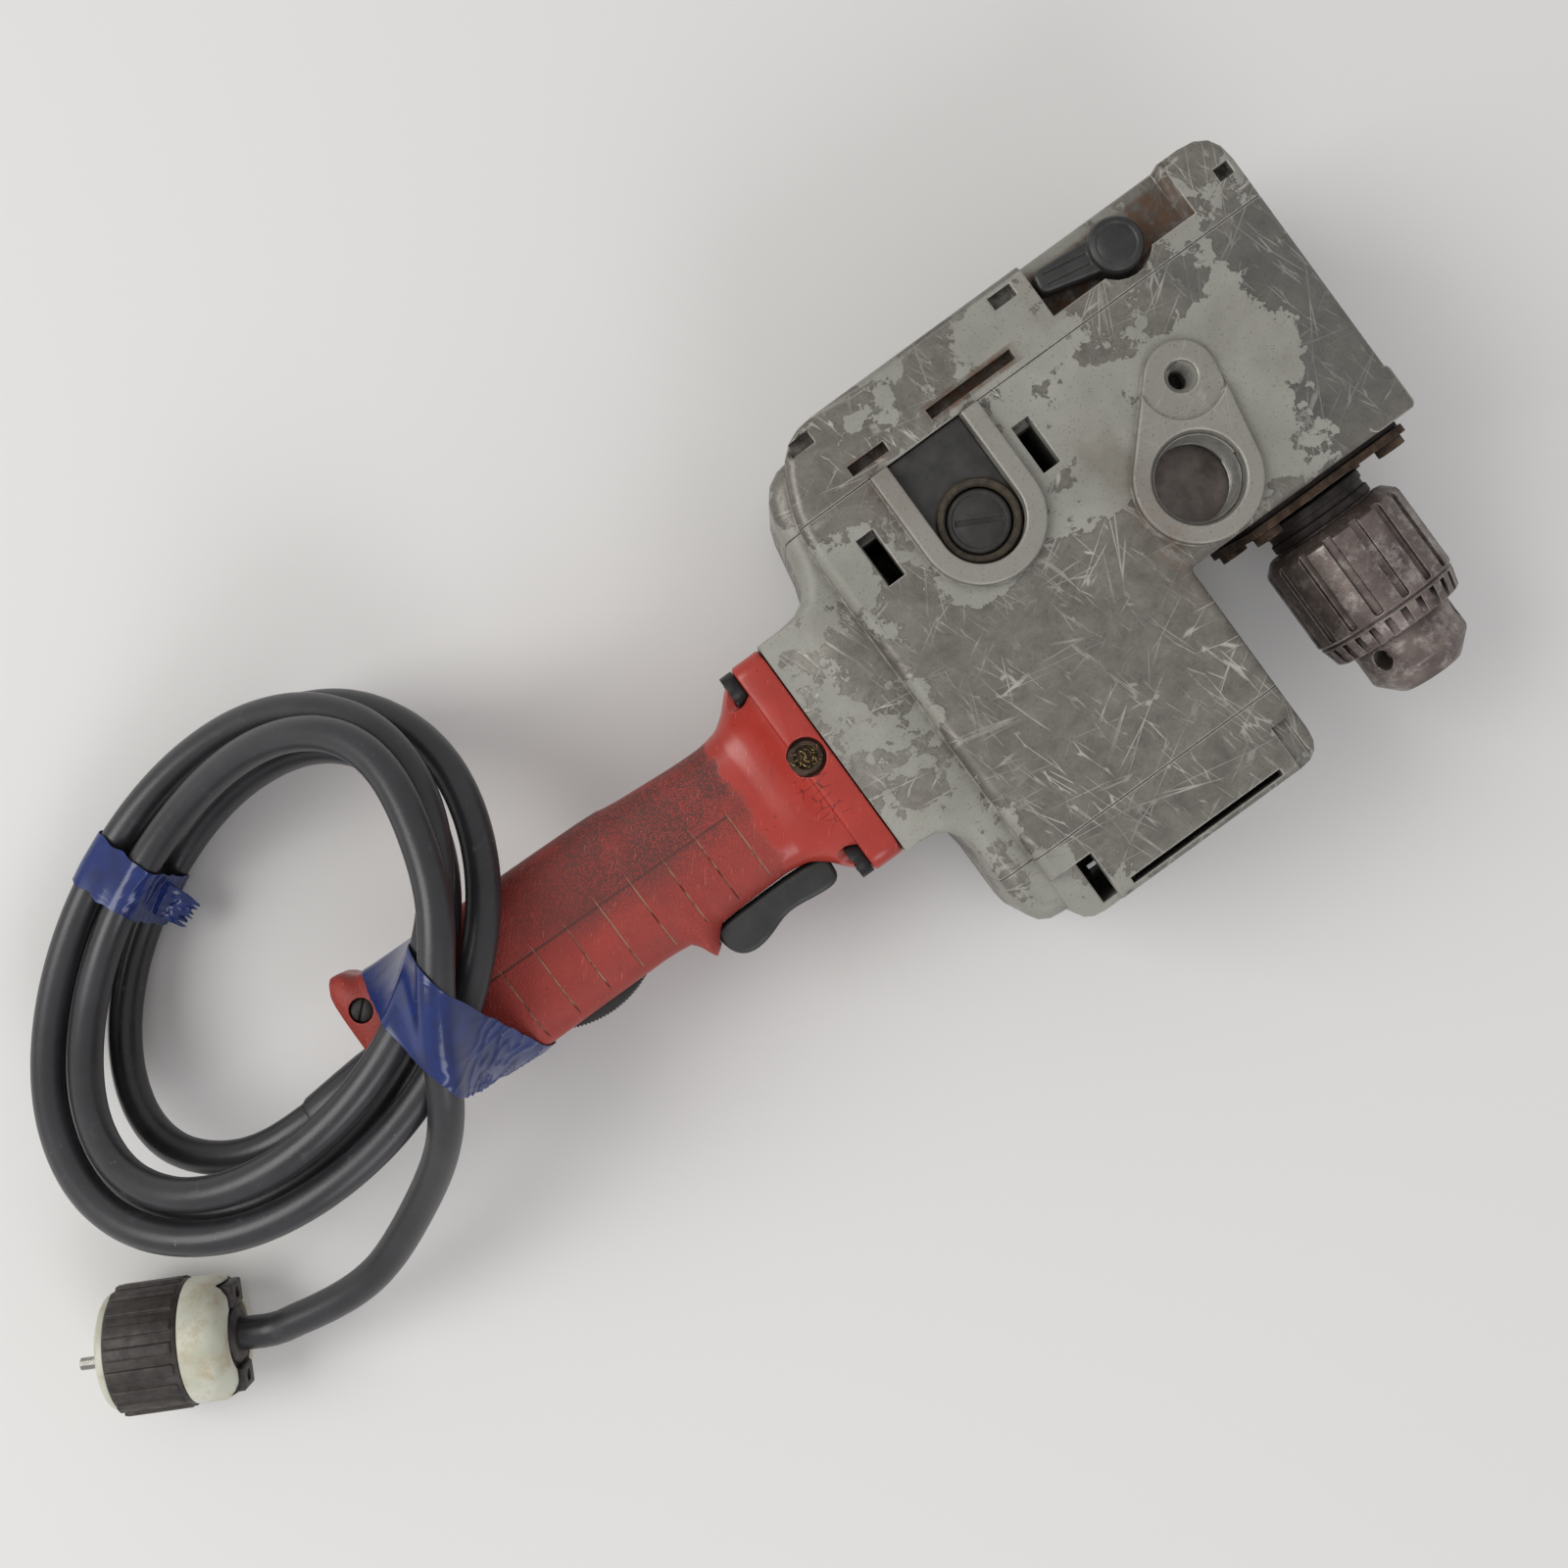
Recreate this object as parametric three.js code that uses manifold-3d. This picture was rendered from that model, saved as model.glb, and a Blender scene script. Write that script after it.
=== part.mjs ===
// Right-angle electric drill with two gears, a keyed chuck and a taped-up mains cord.
// Millimetres, +Z up. The drill lies on its side, the handle runs along X and the chuck points to -Y.
// Shapes are drawn about the joint between handle and motor housing, on the drill's middle plane,
// and the whole group is then stood on the floor with its middle at the origin.

import * as THREE from 'three';
import { mergeVertices } from 'three/addons/utils/BufferGeometryUtils.js';
import Module from 'manifold-3d';

const wasm = await Module();
wasm.setup();

// Driving dimensions of the castings
const bodyThickness = 104;
const bossHeight = 4;
const castingWall = 5;
const clearance = 0.3;
const overrun = 2;
const smallStep = 1;
const edgeRound = 4;

const gearCaseRight = 234;
const gearCaseFront = 23;
const backFace = 98;
const coverSeam = 68;
const barrelEnd = 102;
const endCapSeam = 73;
const barrelLeft = 34;
const barrelHalfWidth = 51;
const barrelCorner = 10;
const caseCorner = 14;
const neckHalfWidth = 45;
const neckHalfHeight = 35;
const shoulderHalfHeight = 42;
const shoulderRound = 6;
const chamberSide = 20.5;
const chamberEnd = 95;

// Gear train
const toothModule = 1.5;
const pinionTeeth = 8;
const firstGearTeeth = 36;
const firstPinionTeeth = 12;
const secondGearTeeth = 40;
const lowPinionTeeth = 16;
const lowGearTeeth = 38;
const highPinionTeeth = 31;
const highGearTeeth = 23;
const backlash = 0.4;
const centreDistance = (teethA, teethB) => toothModule * (teethA + teethB) / 2;
const outerRadius = (teeth) => toothModule * (teeth / 2 + 1);

const motorX = 87;
const firstShaftX = motorX + centreDistance(pinionTeeth, firstGearTeeth);
const secondShaftX = firstShaftX + centreDistance(firstPinionTeeth, secondGearTeeth);
const spindleX = secondShaftX + centreDistance(lowPinionTeeth, lowGearTeeth);

// Gear widths and where they stand, stacked along Y behind the wall that carries the shafts
const bearingWallBack = 60;
const bearingWall = 9;
const gearGap = 1;
const gearWidth = 6.5;
const collarRoom = 9;
const secondPlane = bearingWallBack + gearGap;
const highPlane = secondPlane + gearWidth + gearGap;
const collarPlane = highPlane + gearWidth + gearGap;
const lowPlane = collarPlane + collarRoom;
const gearRoomBack = lowPlane + gearWidth + gearGap;

// Shafts
const motorShaftRadius = 5;
const gearShaftRadius = 6;
const spindleRadius = 8;
const shaftClearance = 0.3;

// Motor
const fieldOuter = 43;
const fieldInner = 27.6;
const coreRadius = 27;
const commutatorRadius = 17;
const commutatorY = 34;
const commutatorLength = 20;
const brushRoomFront = 22;
const fieldFront = 64;
const fieldBack = 4;
const fanRadius = 38;
const fanFront = 88;
const fanDepth = 11;
const windingReach = 8;
const bearingWidth = 8;
const bearingOuter = 13;

// Brush gear and air slots
const brushX = 88;
const brushBossOuter = 23;
const brushBossInner = 15.7;
const brushCapRadius = 12;
const brushBlockDrop = 10;
const brushCapDrop = 8;
const brushCapDepth = 7;
const brushWide = 12;
const brushThick = 7;
const ventWidth = 7.2;
const ventLength = 19.4;
const ventFrontY = 34;
const leftVentX = 52.3;
const rightVentX = 119;

// Side handle sockets, one in each flat face
const socketX = 157;
const socketY = 1;
const socketRadius = 15.8;
const socketMouth = 17;
const socketDepth = 25;
const socketBossOuter = 22.8;
const lockX = 173;
const lockY = 33;
const lockRadius = 4;
const lockDepth = 20;
const lockBossOuter = 13;
const lockBossDrop = 1.5;

// Handle
const handleLength = 202;
const flangeThickness = 12.5;
const flangeHalfWidth = 44.5;
const gripHalfHeight = 21;
const handleWall = 3;
const gripTop = 33;
const gripBottom = 26.5;

// Chuck, along -Y from the spindle's shoulder
const collarRadius = 20.6;
const collarStart = 30;
const sleeveRadius = 28.5;
const sleeveStart = 40;
const toothRingStart = 79;
const sleeveEnd = 87;
const noseRadius = 20;
const noseEnd = 109;
const noseChamfer = 8;
const chuckBore = 7.2;
const jawCount = 3;
const jawRadius = 4.5;
const jawTilt = 15;
const jawLength = 36;
const jawOpening = 9;
const keyHoleRadius = 3.6;
const keyHoleY = 93;
const keyHoleAngle = 53;

// Cord and plug
const cordDiameter = 13;
const cordRadius = cordDiameter / 2;
const floorLevel = -bodyThickness / 2 - bossHeight;
const plugRadius = 25;

const half = bodyThickness / 2;
const bossTop = half + bossHeight;
const fine = 22;
const medium = 14;
const coarse = 8;

// Boolean helpers
const solidOf = (geometry) => {
  geometry.deleteAttribute('normal');
  geometry.deleteAttribute('uv');
  const merged = mergeVertices(geometry, clearance / 1000);
  return new wasm.Manifold(new wasm.Mesh({
    numProp: 3,
    vertProperties: new Float32Array(merged.attributes.position.array),
    triVerts: new Uint32Array(merged.index.array),
  }));
};

const geometryOf = (solid) => {
  const mesh = solid.getMesh();
  const geometry = new THREE.BufferGeometry();
  geometry.setAttribute('position', new THREE.BufferAttribute(mesh.vertProperties, mesh.numProp));
  geometry.setIndex(new THREE.BufferAttribute(mesh.triVerts, 1));
  return geometry;
};

const block = (x0, x1, y0, y1, z0, z1) => solidOf(
  new THREE.BoxGeometry(x1 - x0, y1 - y0, z1 - z0).translate((x0 + x1) / 2, (y0 + y1) / 2, (z0 + z1) / 2));

// A shape from corners [x, y, radius], each corner rounded
const outline = (corners) => {
  const shape = new THREE.Shape();
  corners.forEach(([x, y, radius], i) => {
    const corner = new THREE.Vector2(x, y);
    const ends = [corners.at(i - 1), corners[(i + 1) % corners.length]].map(([nx, ny]) => {
      const away = new THREE.Vector2(nx, ny).sub(corner);
      return corner.clone().addScaledVector(away.normalize(), radius);
    });
    if (i === 0) {
      shape.moveTo(ends[0].x, ends[0].y);
    } else {
      shape.lineTo(ends[0].x, ends[0].y);
    }
    if (radius > 0) {
      shape.quadraticCurveTo(x, y, ends[1].x, ends[1].y);
    }
  });
  shape.closePath();
  return shape;
};

// Extrudes a shape between two heights, with rounded or plain edges
const slab = (shape, z0, z1, round = 0, curveSegments = 4, bevelSegments = 3) => solidOf(
  new THREE.ExtrudeGeometry(shape, {
    depth: z1 - z0 - 2 * round,
    curveSegments,
    bevelEnabled: round > 0,
    bevelThickness: round,
    bevelSize: round,
    bevelOffset: -round,
    bevelSegments,
  }).translate(0, 0, z0 + round));

// Turned work about an axis along Y, from points [radius, y]
const turned = (points, x = 0, segments = medium) => solidOf(
  new THREE.LatheGeometry(points.map(([radius, y]) => new THREE.Vector2(radius, y)), segments)).translate(x,
    0, 0);

const rod = (radius, y0, y1, x = 0, segments = medium) => turned([[0, y0], [radius, y0], [radius, y1],
  [0, y1]], x, segments);

const ring = (inner, outer, y0, y1, x = 0, segments = medium) => turned(
  [[inner, y0], [outer, y0], [outer, y1], [inner, y1], [inner, y0]], x, segments);

// An upright round bar, its axis along Z
const post = (radius, x, y, z0, z1, segments = medium) => rod(radius, z0, z1, 0,
  segments).rotate([90, 0, 0]).translate(x, y, 0);

const union = (...solids) => solids.reduce((sum, solid) => sum.add(solid));

const lyingAlongY = [-90, 0, 0];
const lyingAlongX = [90, 0, 90];
const mirrorZ = [0, 0, 1];

const group = new THREE.Group();
const materials = {
  casting: { color: 0x8b8d86, metalness: 0.55, roughness: 0.5 },
  steel: { color: 0x8d8a86, metalness: 0.9, roughness: 0.35 },
  darkSteel: { color: 0x3a3330, metalness: 0.8, roughness: 0.45 },
  rustySteel: { color: 0x5e4433, metalness: 0.4, roughness: 0.8 },
  redPlastic: { color: 0xb5322a, metalness: 0, roughness: 0.45 },
  blackPlastic: { color: 0x222222, metalness: 0, roughness: 0.5 },
  whitePlastic: { color: 0xd9dbd2, metalness: 0, roughness: 0.5 },
  rubber: { color: 0x26272a, metalness: 0, roughness: 0.6 },
  copper: { color: 0xb06a3a, metalness: 0.9, roughness: 0.4 },
  carbon: { color: 0x2c2c2e, metalness: 0.1, roughness: 0.8 },
  laminations: { color: 0x6d6a66, metalness: 0.7, roughness: 0.55 },
  fibre: { color: 0x4a3a2a, metalness: 0, roughness: 0.9 },
  brass: { color: 0xb08d4a, metalness: 0.9, roughness: 0.35 },
  tape: { color: 0x1f3a93, metalness: 0, roughness: 0.3 },
};

const addNode = (name, geometry, material) => {
  const mesh = new THREE.Mesh(geometry, new THREE.MeshStandardMaterial(materials[material]));
  mesh.name = name;
  group.add(mesh);
};

const addSolid = (name, solid, material) => addNode(name, geometryOf(solid), material);

// Castings

// Outline of the flat-faced body: gear case, motor barrel and the curve towards the handle
const bodyOutline = () => outline([
  [barrelLeft, -barrelEnd, barrelCorner],
  [motorX + barrelHalfWidth, -barrelEnd, barrelCorner],
  [motorX + barrelHalfWidth, -gearCaseFront, edgeRound / 2],
  [gearCaseRight, -gearCaseFront, 2 * edgeRound],
  [gearCaseRight, backFace, caseCorner],
  [barrelLeft + caseCorner, backFace, caseCorner],
  [barrelLeft, coverSeam, caseCorner],
]);

// Lower shelf between the flat faces and the handle, with the chamber beside the barrel
const shelfFillet = 15;
const shelfInset = 6;
const shelfRight = barrelLeft + 2 * shelfFillet;
const backSweep = 25;
const shoulderOutline = () => outline([
  [0, -neckHalfWidth, 0],
  [chamberSide, -neckHalfWidth, shelfFillet],
  [chamberSide, -chamberEnd, 2 * shoulderRound],
  [shelfRight, -chamberEnd, 0],
  [shelfRight, backFace - shelfInset, 0],
  [barrelLeft, backFace - shelfInset, shelfFillet],
  [backSweep, neckHalfWidth, shelfFillet],
  [0, neckHalfWidth, 0],
]);

// Seen along Y, the shelf rises from the handle's flange to the flat faces
const shoulderSide = () => outline([
  [0, -neckHalfHeight, 0],
  [chamberSide, -shoulderHalfHeight, shoulderRound],
  [shelfRight, -shoulderHalfHeight, 0],
  [shelfRight, shoulderHalfHeight, 0],
  [chamberSide, shoulderHalfHeight, shoulderRound],
  [0, neckHalfHeight, 0],
]);

const castBody = () => {
  const flatBody = slab(bodyOutline(), -half, half, edgeRound);
  const shelf = slab(shoulderOutline(), -shoulderHalfHeight, shoulderHalfHeight, shoulderRound);
  const rise = slab(shoulderSide(), -backFace - overrun, barrelEnd + overrun).rotate([90, 0, 0]);
  return flatBody.add(shelf.intersect(rise));
};

// The raised U round each brush holder, open towards the back
const brushBossShape = (radius, length) => {
  const shape = new THREE.Shape();
  shape.absarc(brushX, commutatorY, radius, Math.PI, 2 * Math.PI);
  shape.lineTo(brushX + radius, commutatorY + length);
  shape.lineTo(brushX - radius, commutatorY + length);
  shape.closePath();
  return shape;
};
const brushBossLength = coverSeam - commutatorY;

// The pear-shaped boss of a side handle socket: two circles and their common tangents
const pearShape = () => {
  const shape = new THREE.Shape();
  const along = Math.atan2(lockY - socketY, lockX - socketX);
  const spread = Math.acos((socketBossOuter - lockBossOuter) / Math.hypot(lockX - socketX, lockY - socketY));
  shape.absarc(socketX, socketY, socketBossOuter, along + spread, along - spread + 2 * Math.PI);
  shape.absarc(lockX, lockY, lockBossOuter, along - spread, along + spread);
  shape.closePath();
  return shape;
};

const bossDetail = 6;
const faceBosses = () => {
  const brushBoss = slab(brushBossShape(brushBossOuter, brushBossLength), half - castingWall, bossTop,
    smallStep, bossDetail, 1);
  const pear = slab(pearShape(), half - castingWall, bossTop, smallStep, bossDetail, 1);
  const lobeStep = block(socketX, lockX + 2 * lockBossOuter, socketY + socketBossOuter - lockBossDrop,
    lockY + 2 * lockBossOuter, bossTop - lockBossDrop, bossTop + overrun);
  return brushBoss.add(pear.subtract(lobeStep));
};

const onBothFaces = (solid) => solid.add(solid.mirror(mirrorZ));

const socketCuts = () => onBothFaces(union(
  post(socketRadius, socketX, socketY, bossTop - socketDepth, bossTop + overrun, fine),
  post(lockRadius, lockX, lockY, bossTop - lockDepth, bossTop + overrun, coarse),
  turned([[0, -overrun], [socketMouth + overrun, -overrun], [socketMouth, 0],
    [socketRadius, socketMouth - socketRadius], [0, socketMouth - socketRadius]], 0, fine)
    .rotate([-90, 0, 0]).translate(socketX, socketY, bossTop)));

// Room round the commutator, reached by the brush holders and the air slots
const brushRoomHalfX = 37;
const brushRoomHalfZ = half - castingWall - smallStep;
const brushRoomBack = bearingWallBack - bearingWall;
const gearRoomLeft = motorX - 2 * bearingOuter;
const gearRoomRight = spindleX + outerRadius(lowGearTeeth) + smallStep;
const gearRoomTop = outerRadius(lowGearTeeth) + castingWall - smallStep;
const gearRoomBottom = -half + castingWall;
const gearRoomRound = 6;
const spindleTunnelRadius = spindleRadius + bearingOuter - castingWall;
const wireWayHalf = 14;
const endWall = 2.5;
const endRoomHalf = 42;

const motorRoom = () => union(
  rod(fieldOuter + clearance, -endCapSeam - overrun, brushRoomFront - castingWall, motorX, fine),
  block(motorX - brushRoomHalfX, motorX + brushRoomHalfX, brushRoomFront - castingWall - overrun,
    brushRoomBack,
    -brushRoomHalfZ, brushRoomHalfZ),
  block(-overrun, motorX - brushRoomHalfX + overrun, -wireWayHalf / 2, neckHalfWidth - wireWayHalf,
    -wireWayHalf, wireWayHalf));

const gearRoomShape = () => outline([
  [gearRoomLeft, gearRoomBottom, gearRoomRound],
  [gearRoomRight, gearRoomBottom, gearRoomRound],
  [gearRoomRight, gearRoomTop, gearRoomRound],
  [gearRoomLeft, gearRoomTop, gearRoomRound],
]);

const gearRoom = (y0, y1) => slab(gearRoomShape(), -y1, -y0).rotate([90, 0, 0]);

// Bores in the wall between brush room and gear room, and in the cover, for the shaft ends
const shaftEnd = 3;
const shaftBores = () => union(
  rod(bearingOuter + clearance, brushRoomBack - overrun, bearingWallBack + overrun, motorX),
  rod(gearShaftRadius + shaftClearance, bearingWallBack - shaftEnd, gearRoomBack + shaftEnd, firstShaftX),
  rod(gearShaftRadius + shaftClearance, bearingWallBack - shaftEnd, gearRoomBack + shaftEnd, secondShaftX),
  rod(spindleRadius + shaftClearance, gearRoomBack - overrun, gearRoomBack + shaftEnd + clearance, spindleX),
  rod(spindleTunnelRadius, -gearCaseFront + castingWall, bearingWallBack + overrun, spindleX),
  rod(bearingOuter + clearance, -gearCaseFront - overrun, -gearCaseFront + bearingWidth + clearance,
    spindleX));

const airSlots = () => {
  const slot = (x) => block(x - ventWidth / 2, x + ventWidth / 2, ventFrontY, ventFrontY + ventLength,
    brushRoomHalfZ - overrun, bossTop + overrun);
  return onBothFaces(slot(leftVentX).add(slot(rightVentX)));
};

const brushOpenings = () => onBothFaces(
  slab(brushBossShape(brushBossInner, brushRoomBack - commutatorY), brushRoomHalfZ - overrun,
    bossTop + overrun, 0, bossDetail)
    .add(slab(brushBossShape(brushBossInner, brushBossLength + overrun), bossTop - brushBlockDrop,
      bossTop + overrun, 0,
      bossDetail)));

// Openings of the two long windows at the cover's seam, by their middles and lengths
const windowDepth = 7;
const windowWidth = 4;
const shortWindowX = 69;
const shortWindowLength = 15.5;
const longWindowX = 113;
const longWindowLength = 36;
const seamWindows = () => {
  const front = coverSeam + 2 * overrun;
  const window = (x, length) => block(x - length / 2, x + length / 2, front, front + windowWidth,
    half - windowDepth, half + overrun);
  return onBothFaces(window(shortWindowX, shortWindowLength).add(window(longWindowX, longWindowLength)));
};

// Pockets of the cover's screws along its back edge
const pocketDepth = 6;
const pocketWidth = 5;
const pocketLength = 9.5;
const pocketInset = 3.5;
const middlePocketX = 135;
const screwPockets = () => {
  const back = backFace - pocketInset;
  const pocket = (x, length) => block(x, x + length, back - pocketWidth, back, half - pocketDepth,
    half + overrun);
  return onBothFaces(union(
    pocket(barrelLeft + caseCorner, pocketLength),
    pocket(middlePocketX, pocketLength),
    pocket(gearCaseRight - pocketLength, pocketLength - pocketInset).translate(0, -2 * pocketWidth, 0)));
};

// Knob pocket in the upper face, open to the back so that the lever can swing right round
const knobX = 182.5;
const knobY = 83.5;
const knobHubRadius = 10;
const knobLever = 31;
const knobLeverWidth = 9;
const knobRise = 2;
const knobPocketFloor = gearRoomTop + castingWall - smallStep;
const knobPocketRight = 28.6;
const knobRange = 135;
const knobPocketFront = 7.5;
const knobHubRoom = 2.6;
const knobShaftRadius = 4;
const knobPinRadius = 1.6;
const knobThrow = 1.95;
const knobPinTurn = THREE.MathUtils.degToRad(knobRange / 2);
const knobPin = [knobThrow * Math.cos(knobPinTurn), knobThrow * Math.sin(knobPinTurn)];

const knobPocket = () => union(
  block(knobX - knobLever - 4 * clearance, knobX + knobPocketRight, knobY - knobPocketFront,
    backFace + overrun,
    knobPocketFloor, bossTop),
  post(knobHubRadius + knobHubRoom, knobX, knobY, knobPocketFloor, bossTop, fine),
  post(knobShaftRadius + 2 * shaftClearance, knobX, knobY, gearRoomTop - overrun, knobPocketFloor + overrun,
    coarse));

// Slot of the blown air in the end cap, and the pockets of its screws
const exhaustWidth = 2.4;
const exhaustHalf = 32;
const exhaustX = 89;
const capPocketLength = 20;
const capPocketWidth = 17;
const endCapCuts = () => {
  const exhaust = block(exhaustX - exhaustHalf, exhaustX + exhaustHalf, -barrelEnd + endWall,
    -barrelEnd + endWall + exhaustWidth, brushRoomHalfZ - overrun, bossTop);
  const leftPocket = block(barrelLeft - overrun, barrelLeft + capPocketWidth, -barrelEnd - overrun,
    -barrelEnd + capPocketLength, half - pocketDepth, bossTop);
  const rightPocket = block(motorX + barrelHalfWidth - pocketDepth - castingWall,
    motorX + barrelHalfWidth - castingWall,
    -barrelEnd - overrun, -barrelEnd + capPocketLength - overrun, half - pocketDepth / 2, bossTop);
  return onBothFaces(union(exhaust, leftPocket, rightPocket));
};

const endCapRoom = () => {
  const room = union(
    rod(fieldOuter + clearance, -endCapSeam - overrun, -endCapSeam + overrun, motorX, fine),
    block(motorX - endRoomHalf, motorX + endRoomHalf, -barrelEnd + endWall, -endCapSeam + overrun,
      -brushRoomHalfZ, brushRoomHalfZ));
  const boss = ring(bearingOuter + clearance, bearingOuter + castingWall, -barrelEnd,
    -barrelEnd + endWall + bearingWidth,
    motorX);
  return room.subtract(boss.add(rod(bearingOuter + smallStep, -barrelEnd, -barrelEnd + endWall, motorX)));
};

const buildCastings = () => {
  const body = castBody().add(onBothFaces(faceBosses()));
  const wide = handleLength + gearCaseRight;
  const between = (y0, y1) => block(-wide, wide, y0, y1, -wide, wide);
  const housing = body.intersect(between(-endCapSeam + clearance / 2, coverSeam - clearance / 2))
    .subtract(motorRoom())
    .subtract(gearRoom(bearingWallBack, coverSeam + overrun))
    .subtract(shaftBores())
    .subtract(socketCuts())
    .subtract(airSlots())
    .subtract(brushOpenings());
  addSolid('motor_housing', housing, 'casting');
  const cover = body.intersect(between(coverSeam + clearance / 2, backFace + overrun))
    .subtract(gearRoom(coverSeam - overrun, gearRoomBack))
    .subtract(shaftBores())
    .subtract(seamWindows())
    .subtract(screwPockets())
    .subtract(knobPocket());
  addSolid('back_cover', cover, 'casting');
  const endCap = body.intersect(between(-barrelEnd - overrun, -endCapSeam - clearance / 2))
    .subtract(endCapRoom())
    .subtract(endCapCuts());
  addSolid('motor_end_cap', endCap, 'casting');
};

// Bearing plate under the gear case, with its gasket and bolts
const plateHalf = 34;
const gasketThickness = 2;
const plateThickness = 3;
const boltSpread = 27;
const boltHeadRadius = 5.5;
const boltHeadHeight = 3;
const boltRadius = 3;
const boltLength = 12;
const buildBearingPlate = () => {
  const square = (size) => outline([
    [spindleX - size, -size, castingWall],
    [spindleX + size, -size, castingWall],
    [spindleX + size, size, castingWall],
    [spindleX - size, size, castingWall],
  ]);
  const gasketStart = -gearCaseFront - clearance;
  const plateStart = gasketStart - gasketThickness - clearance;
  const plateEnd = plateStart - plateThickness;
  const sheet = (size, y0, y1) => slab(square(size), -y1, -y0).rotate([90, 0, 0]);
  const places = [[-1, -1], [1, -1], [1, 1], [-1, 1]].map(([i, k]) => [spindleX + i * boltSpread,
    k * boltSpread]);
  const boltHoles = union(...places.map(([x, z]) => rod(boltRadius + clearance, plateEnd - overrun,
    gasketStart + overrun, x, coarse)
    .translate(0, 0, z)));
  const throat = rod(bearingOuter + castingWall, plateEnd - overrun, gasketStart + overrun, spindleX);
  const shaftHole = rod(spindleRadius + smallStep, plateEnd - overrun, plateStart + overrun, spindleX);
  addSolid('bearing_plate_gasket', sheet(plateHalf - smallStep, plateStart + clearance,
    gasketStart).subtract(throat).subtract(boltHoles),
    'rubber');
  addSolid('bearing_plate', sheet(plateHalf, plateEnd, plateStart).subtract(shaftHole).subtract(boltHoles),
    'rustySteel');
  places.forEach(([x, z], i) => {
    const headTop = plateEnd - clearance;
    const head = rod(boltHeadRadius, headTop - boltHeadHeight, headTop, x, coarse);
    const stem = rod(boltRadius, headTop - overrun, -gearCaseFront - clearance, x, coarse);
    addSolid(`bearing_plate_bolt_${i + 1}`, head.add(stem).translate(0, 0, z), 'darkSteel');
  });
};

// Gears

// Outline of a spur gear; each tooth is drawn by its two roots and its two tips
const rootShare = 1.25;
const tipShare = 0.95;
const flankSlope = Math.tan(THREE.MathUtils.degToRad(20));
const gearShape = (teeth, phase) => {
  const pitchRadius = toothModule * teeth / 2;
  const pitchHalf = (Math.PI * toothModule / 2 - backlash) / 2;
  const rootRadius = pitchRadius - rootShare * toothModule;
  const tipRadius = pitchRadius + tipShare * toothModule;
  const points = [];
  for (let i = 0; i < teeth; i++) {
    const middle = THREE.MathUtils.degToRad(phase + 360 * i / teeth);
    [[rootRadius, -1], [tipRadius, -1], [tipRadius, 1], [rootRadius, 1]].forEach(([radius, side]) => {
      const halfTooth = pitchHalf - (radius - pitchRadius) * flankSlope;
      const angle = middle + side * Math.min(halfTooth / radius, Math.PI / teeth - clearance / rootRadius);
      points.push(new THREE.Vector2(radius * Math.cos(angle), radius * Math.sin(angle)));
    });
  }
  return new THREE.Shape(points);
};

const gear = (teeth, phase, y0, x, width = gearWidth) => slab(gearShape(teeth, -phase), 0, width)
  .rotate(lyingAlongY).translate(x, y0, 0);

// Turns a gear so that it meshes with the one before it on the -X side
const meshPhase = (phaseBefore, teethBefore, teeth) => {
  const pitch = 360 / teethBefore;
  return 180 + 180 / teeth - (((phaseBefore % pitch) + pitch) % pitch) * teethBefore / teeth;
};

const stageOneWidth = collarRoom - 2 * gearGap;
const phases = {};
phases.pinion = 0;
phases.firstGear = meshPhase(phases.pinion, pinionTeeth, firstGearTeeth);
phases.firstPinion = 0;
phases.secondGear = meshPhase(phases.firstPinion, firstPinionTeeth, secondGearTeeth);
phases.lowPinion = 0;
phases.lowGear = meshPhase(phases.lowPinion, lowPinionTeeth, lowGearTeeth);
phases.highPinion = 0;
phases.highGear = meshPhase(phases.highPinion, highPinionTeeth, highGearTeeth);

const buildClusters = () => {
  const stemFront = bearingWallBack - shaftEnd + clearance;
  const stemBack = gearRoomBack + shaftEnd - clearance;
  const firstCluster = union(
    rod(gearShaftRadius, stemFront, stemBack, firstShaftX),
    gear(firstPinionTeeth, phases.firstPinion, secondPlane, firstShaftX),
    gear(firstGearTeeth, phases.firstGear, collarPlane, firstShaftX, stageOneWidth));
  addSolid('first_reduction_cluster', firstCluster, 'steel');
  const secondCluster = union(
    rod(gearShaftRadius, stemFront, stemBack, secondShaftX),
    gear(secondGearTeeth, phases.secondGear, secondPlane, secondShaftX),
    gear(highPinionTeeth, phases.highPinion, highPlane, secondShaftX),
    gear(lowPinionTeeth, phases.lowPinion, lowPlane, secondShaftX));
  addSolid('second_reduction_cluster', secondCluster, 'steel');
};

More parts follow.
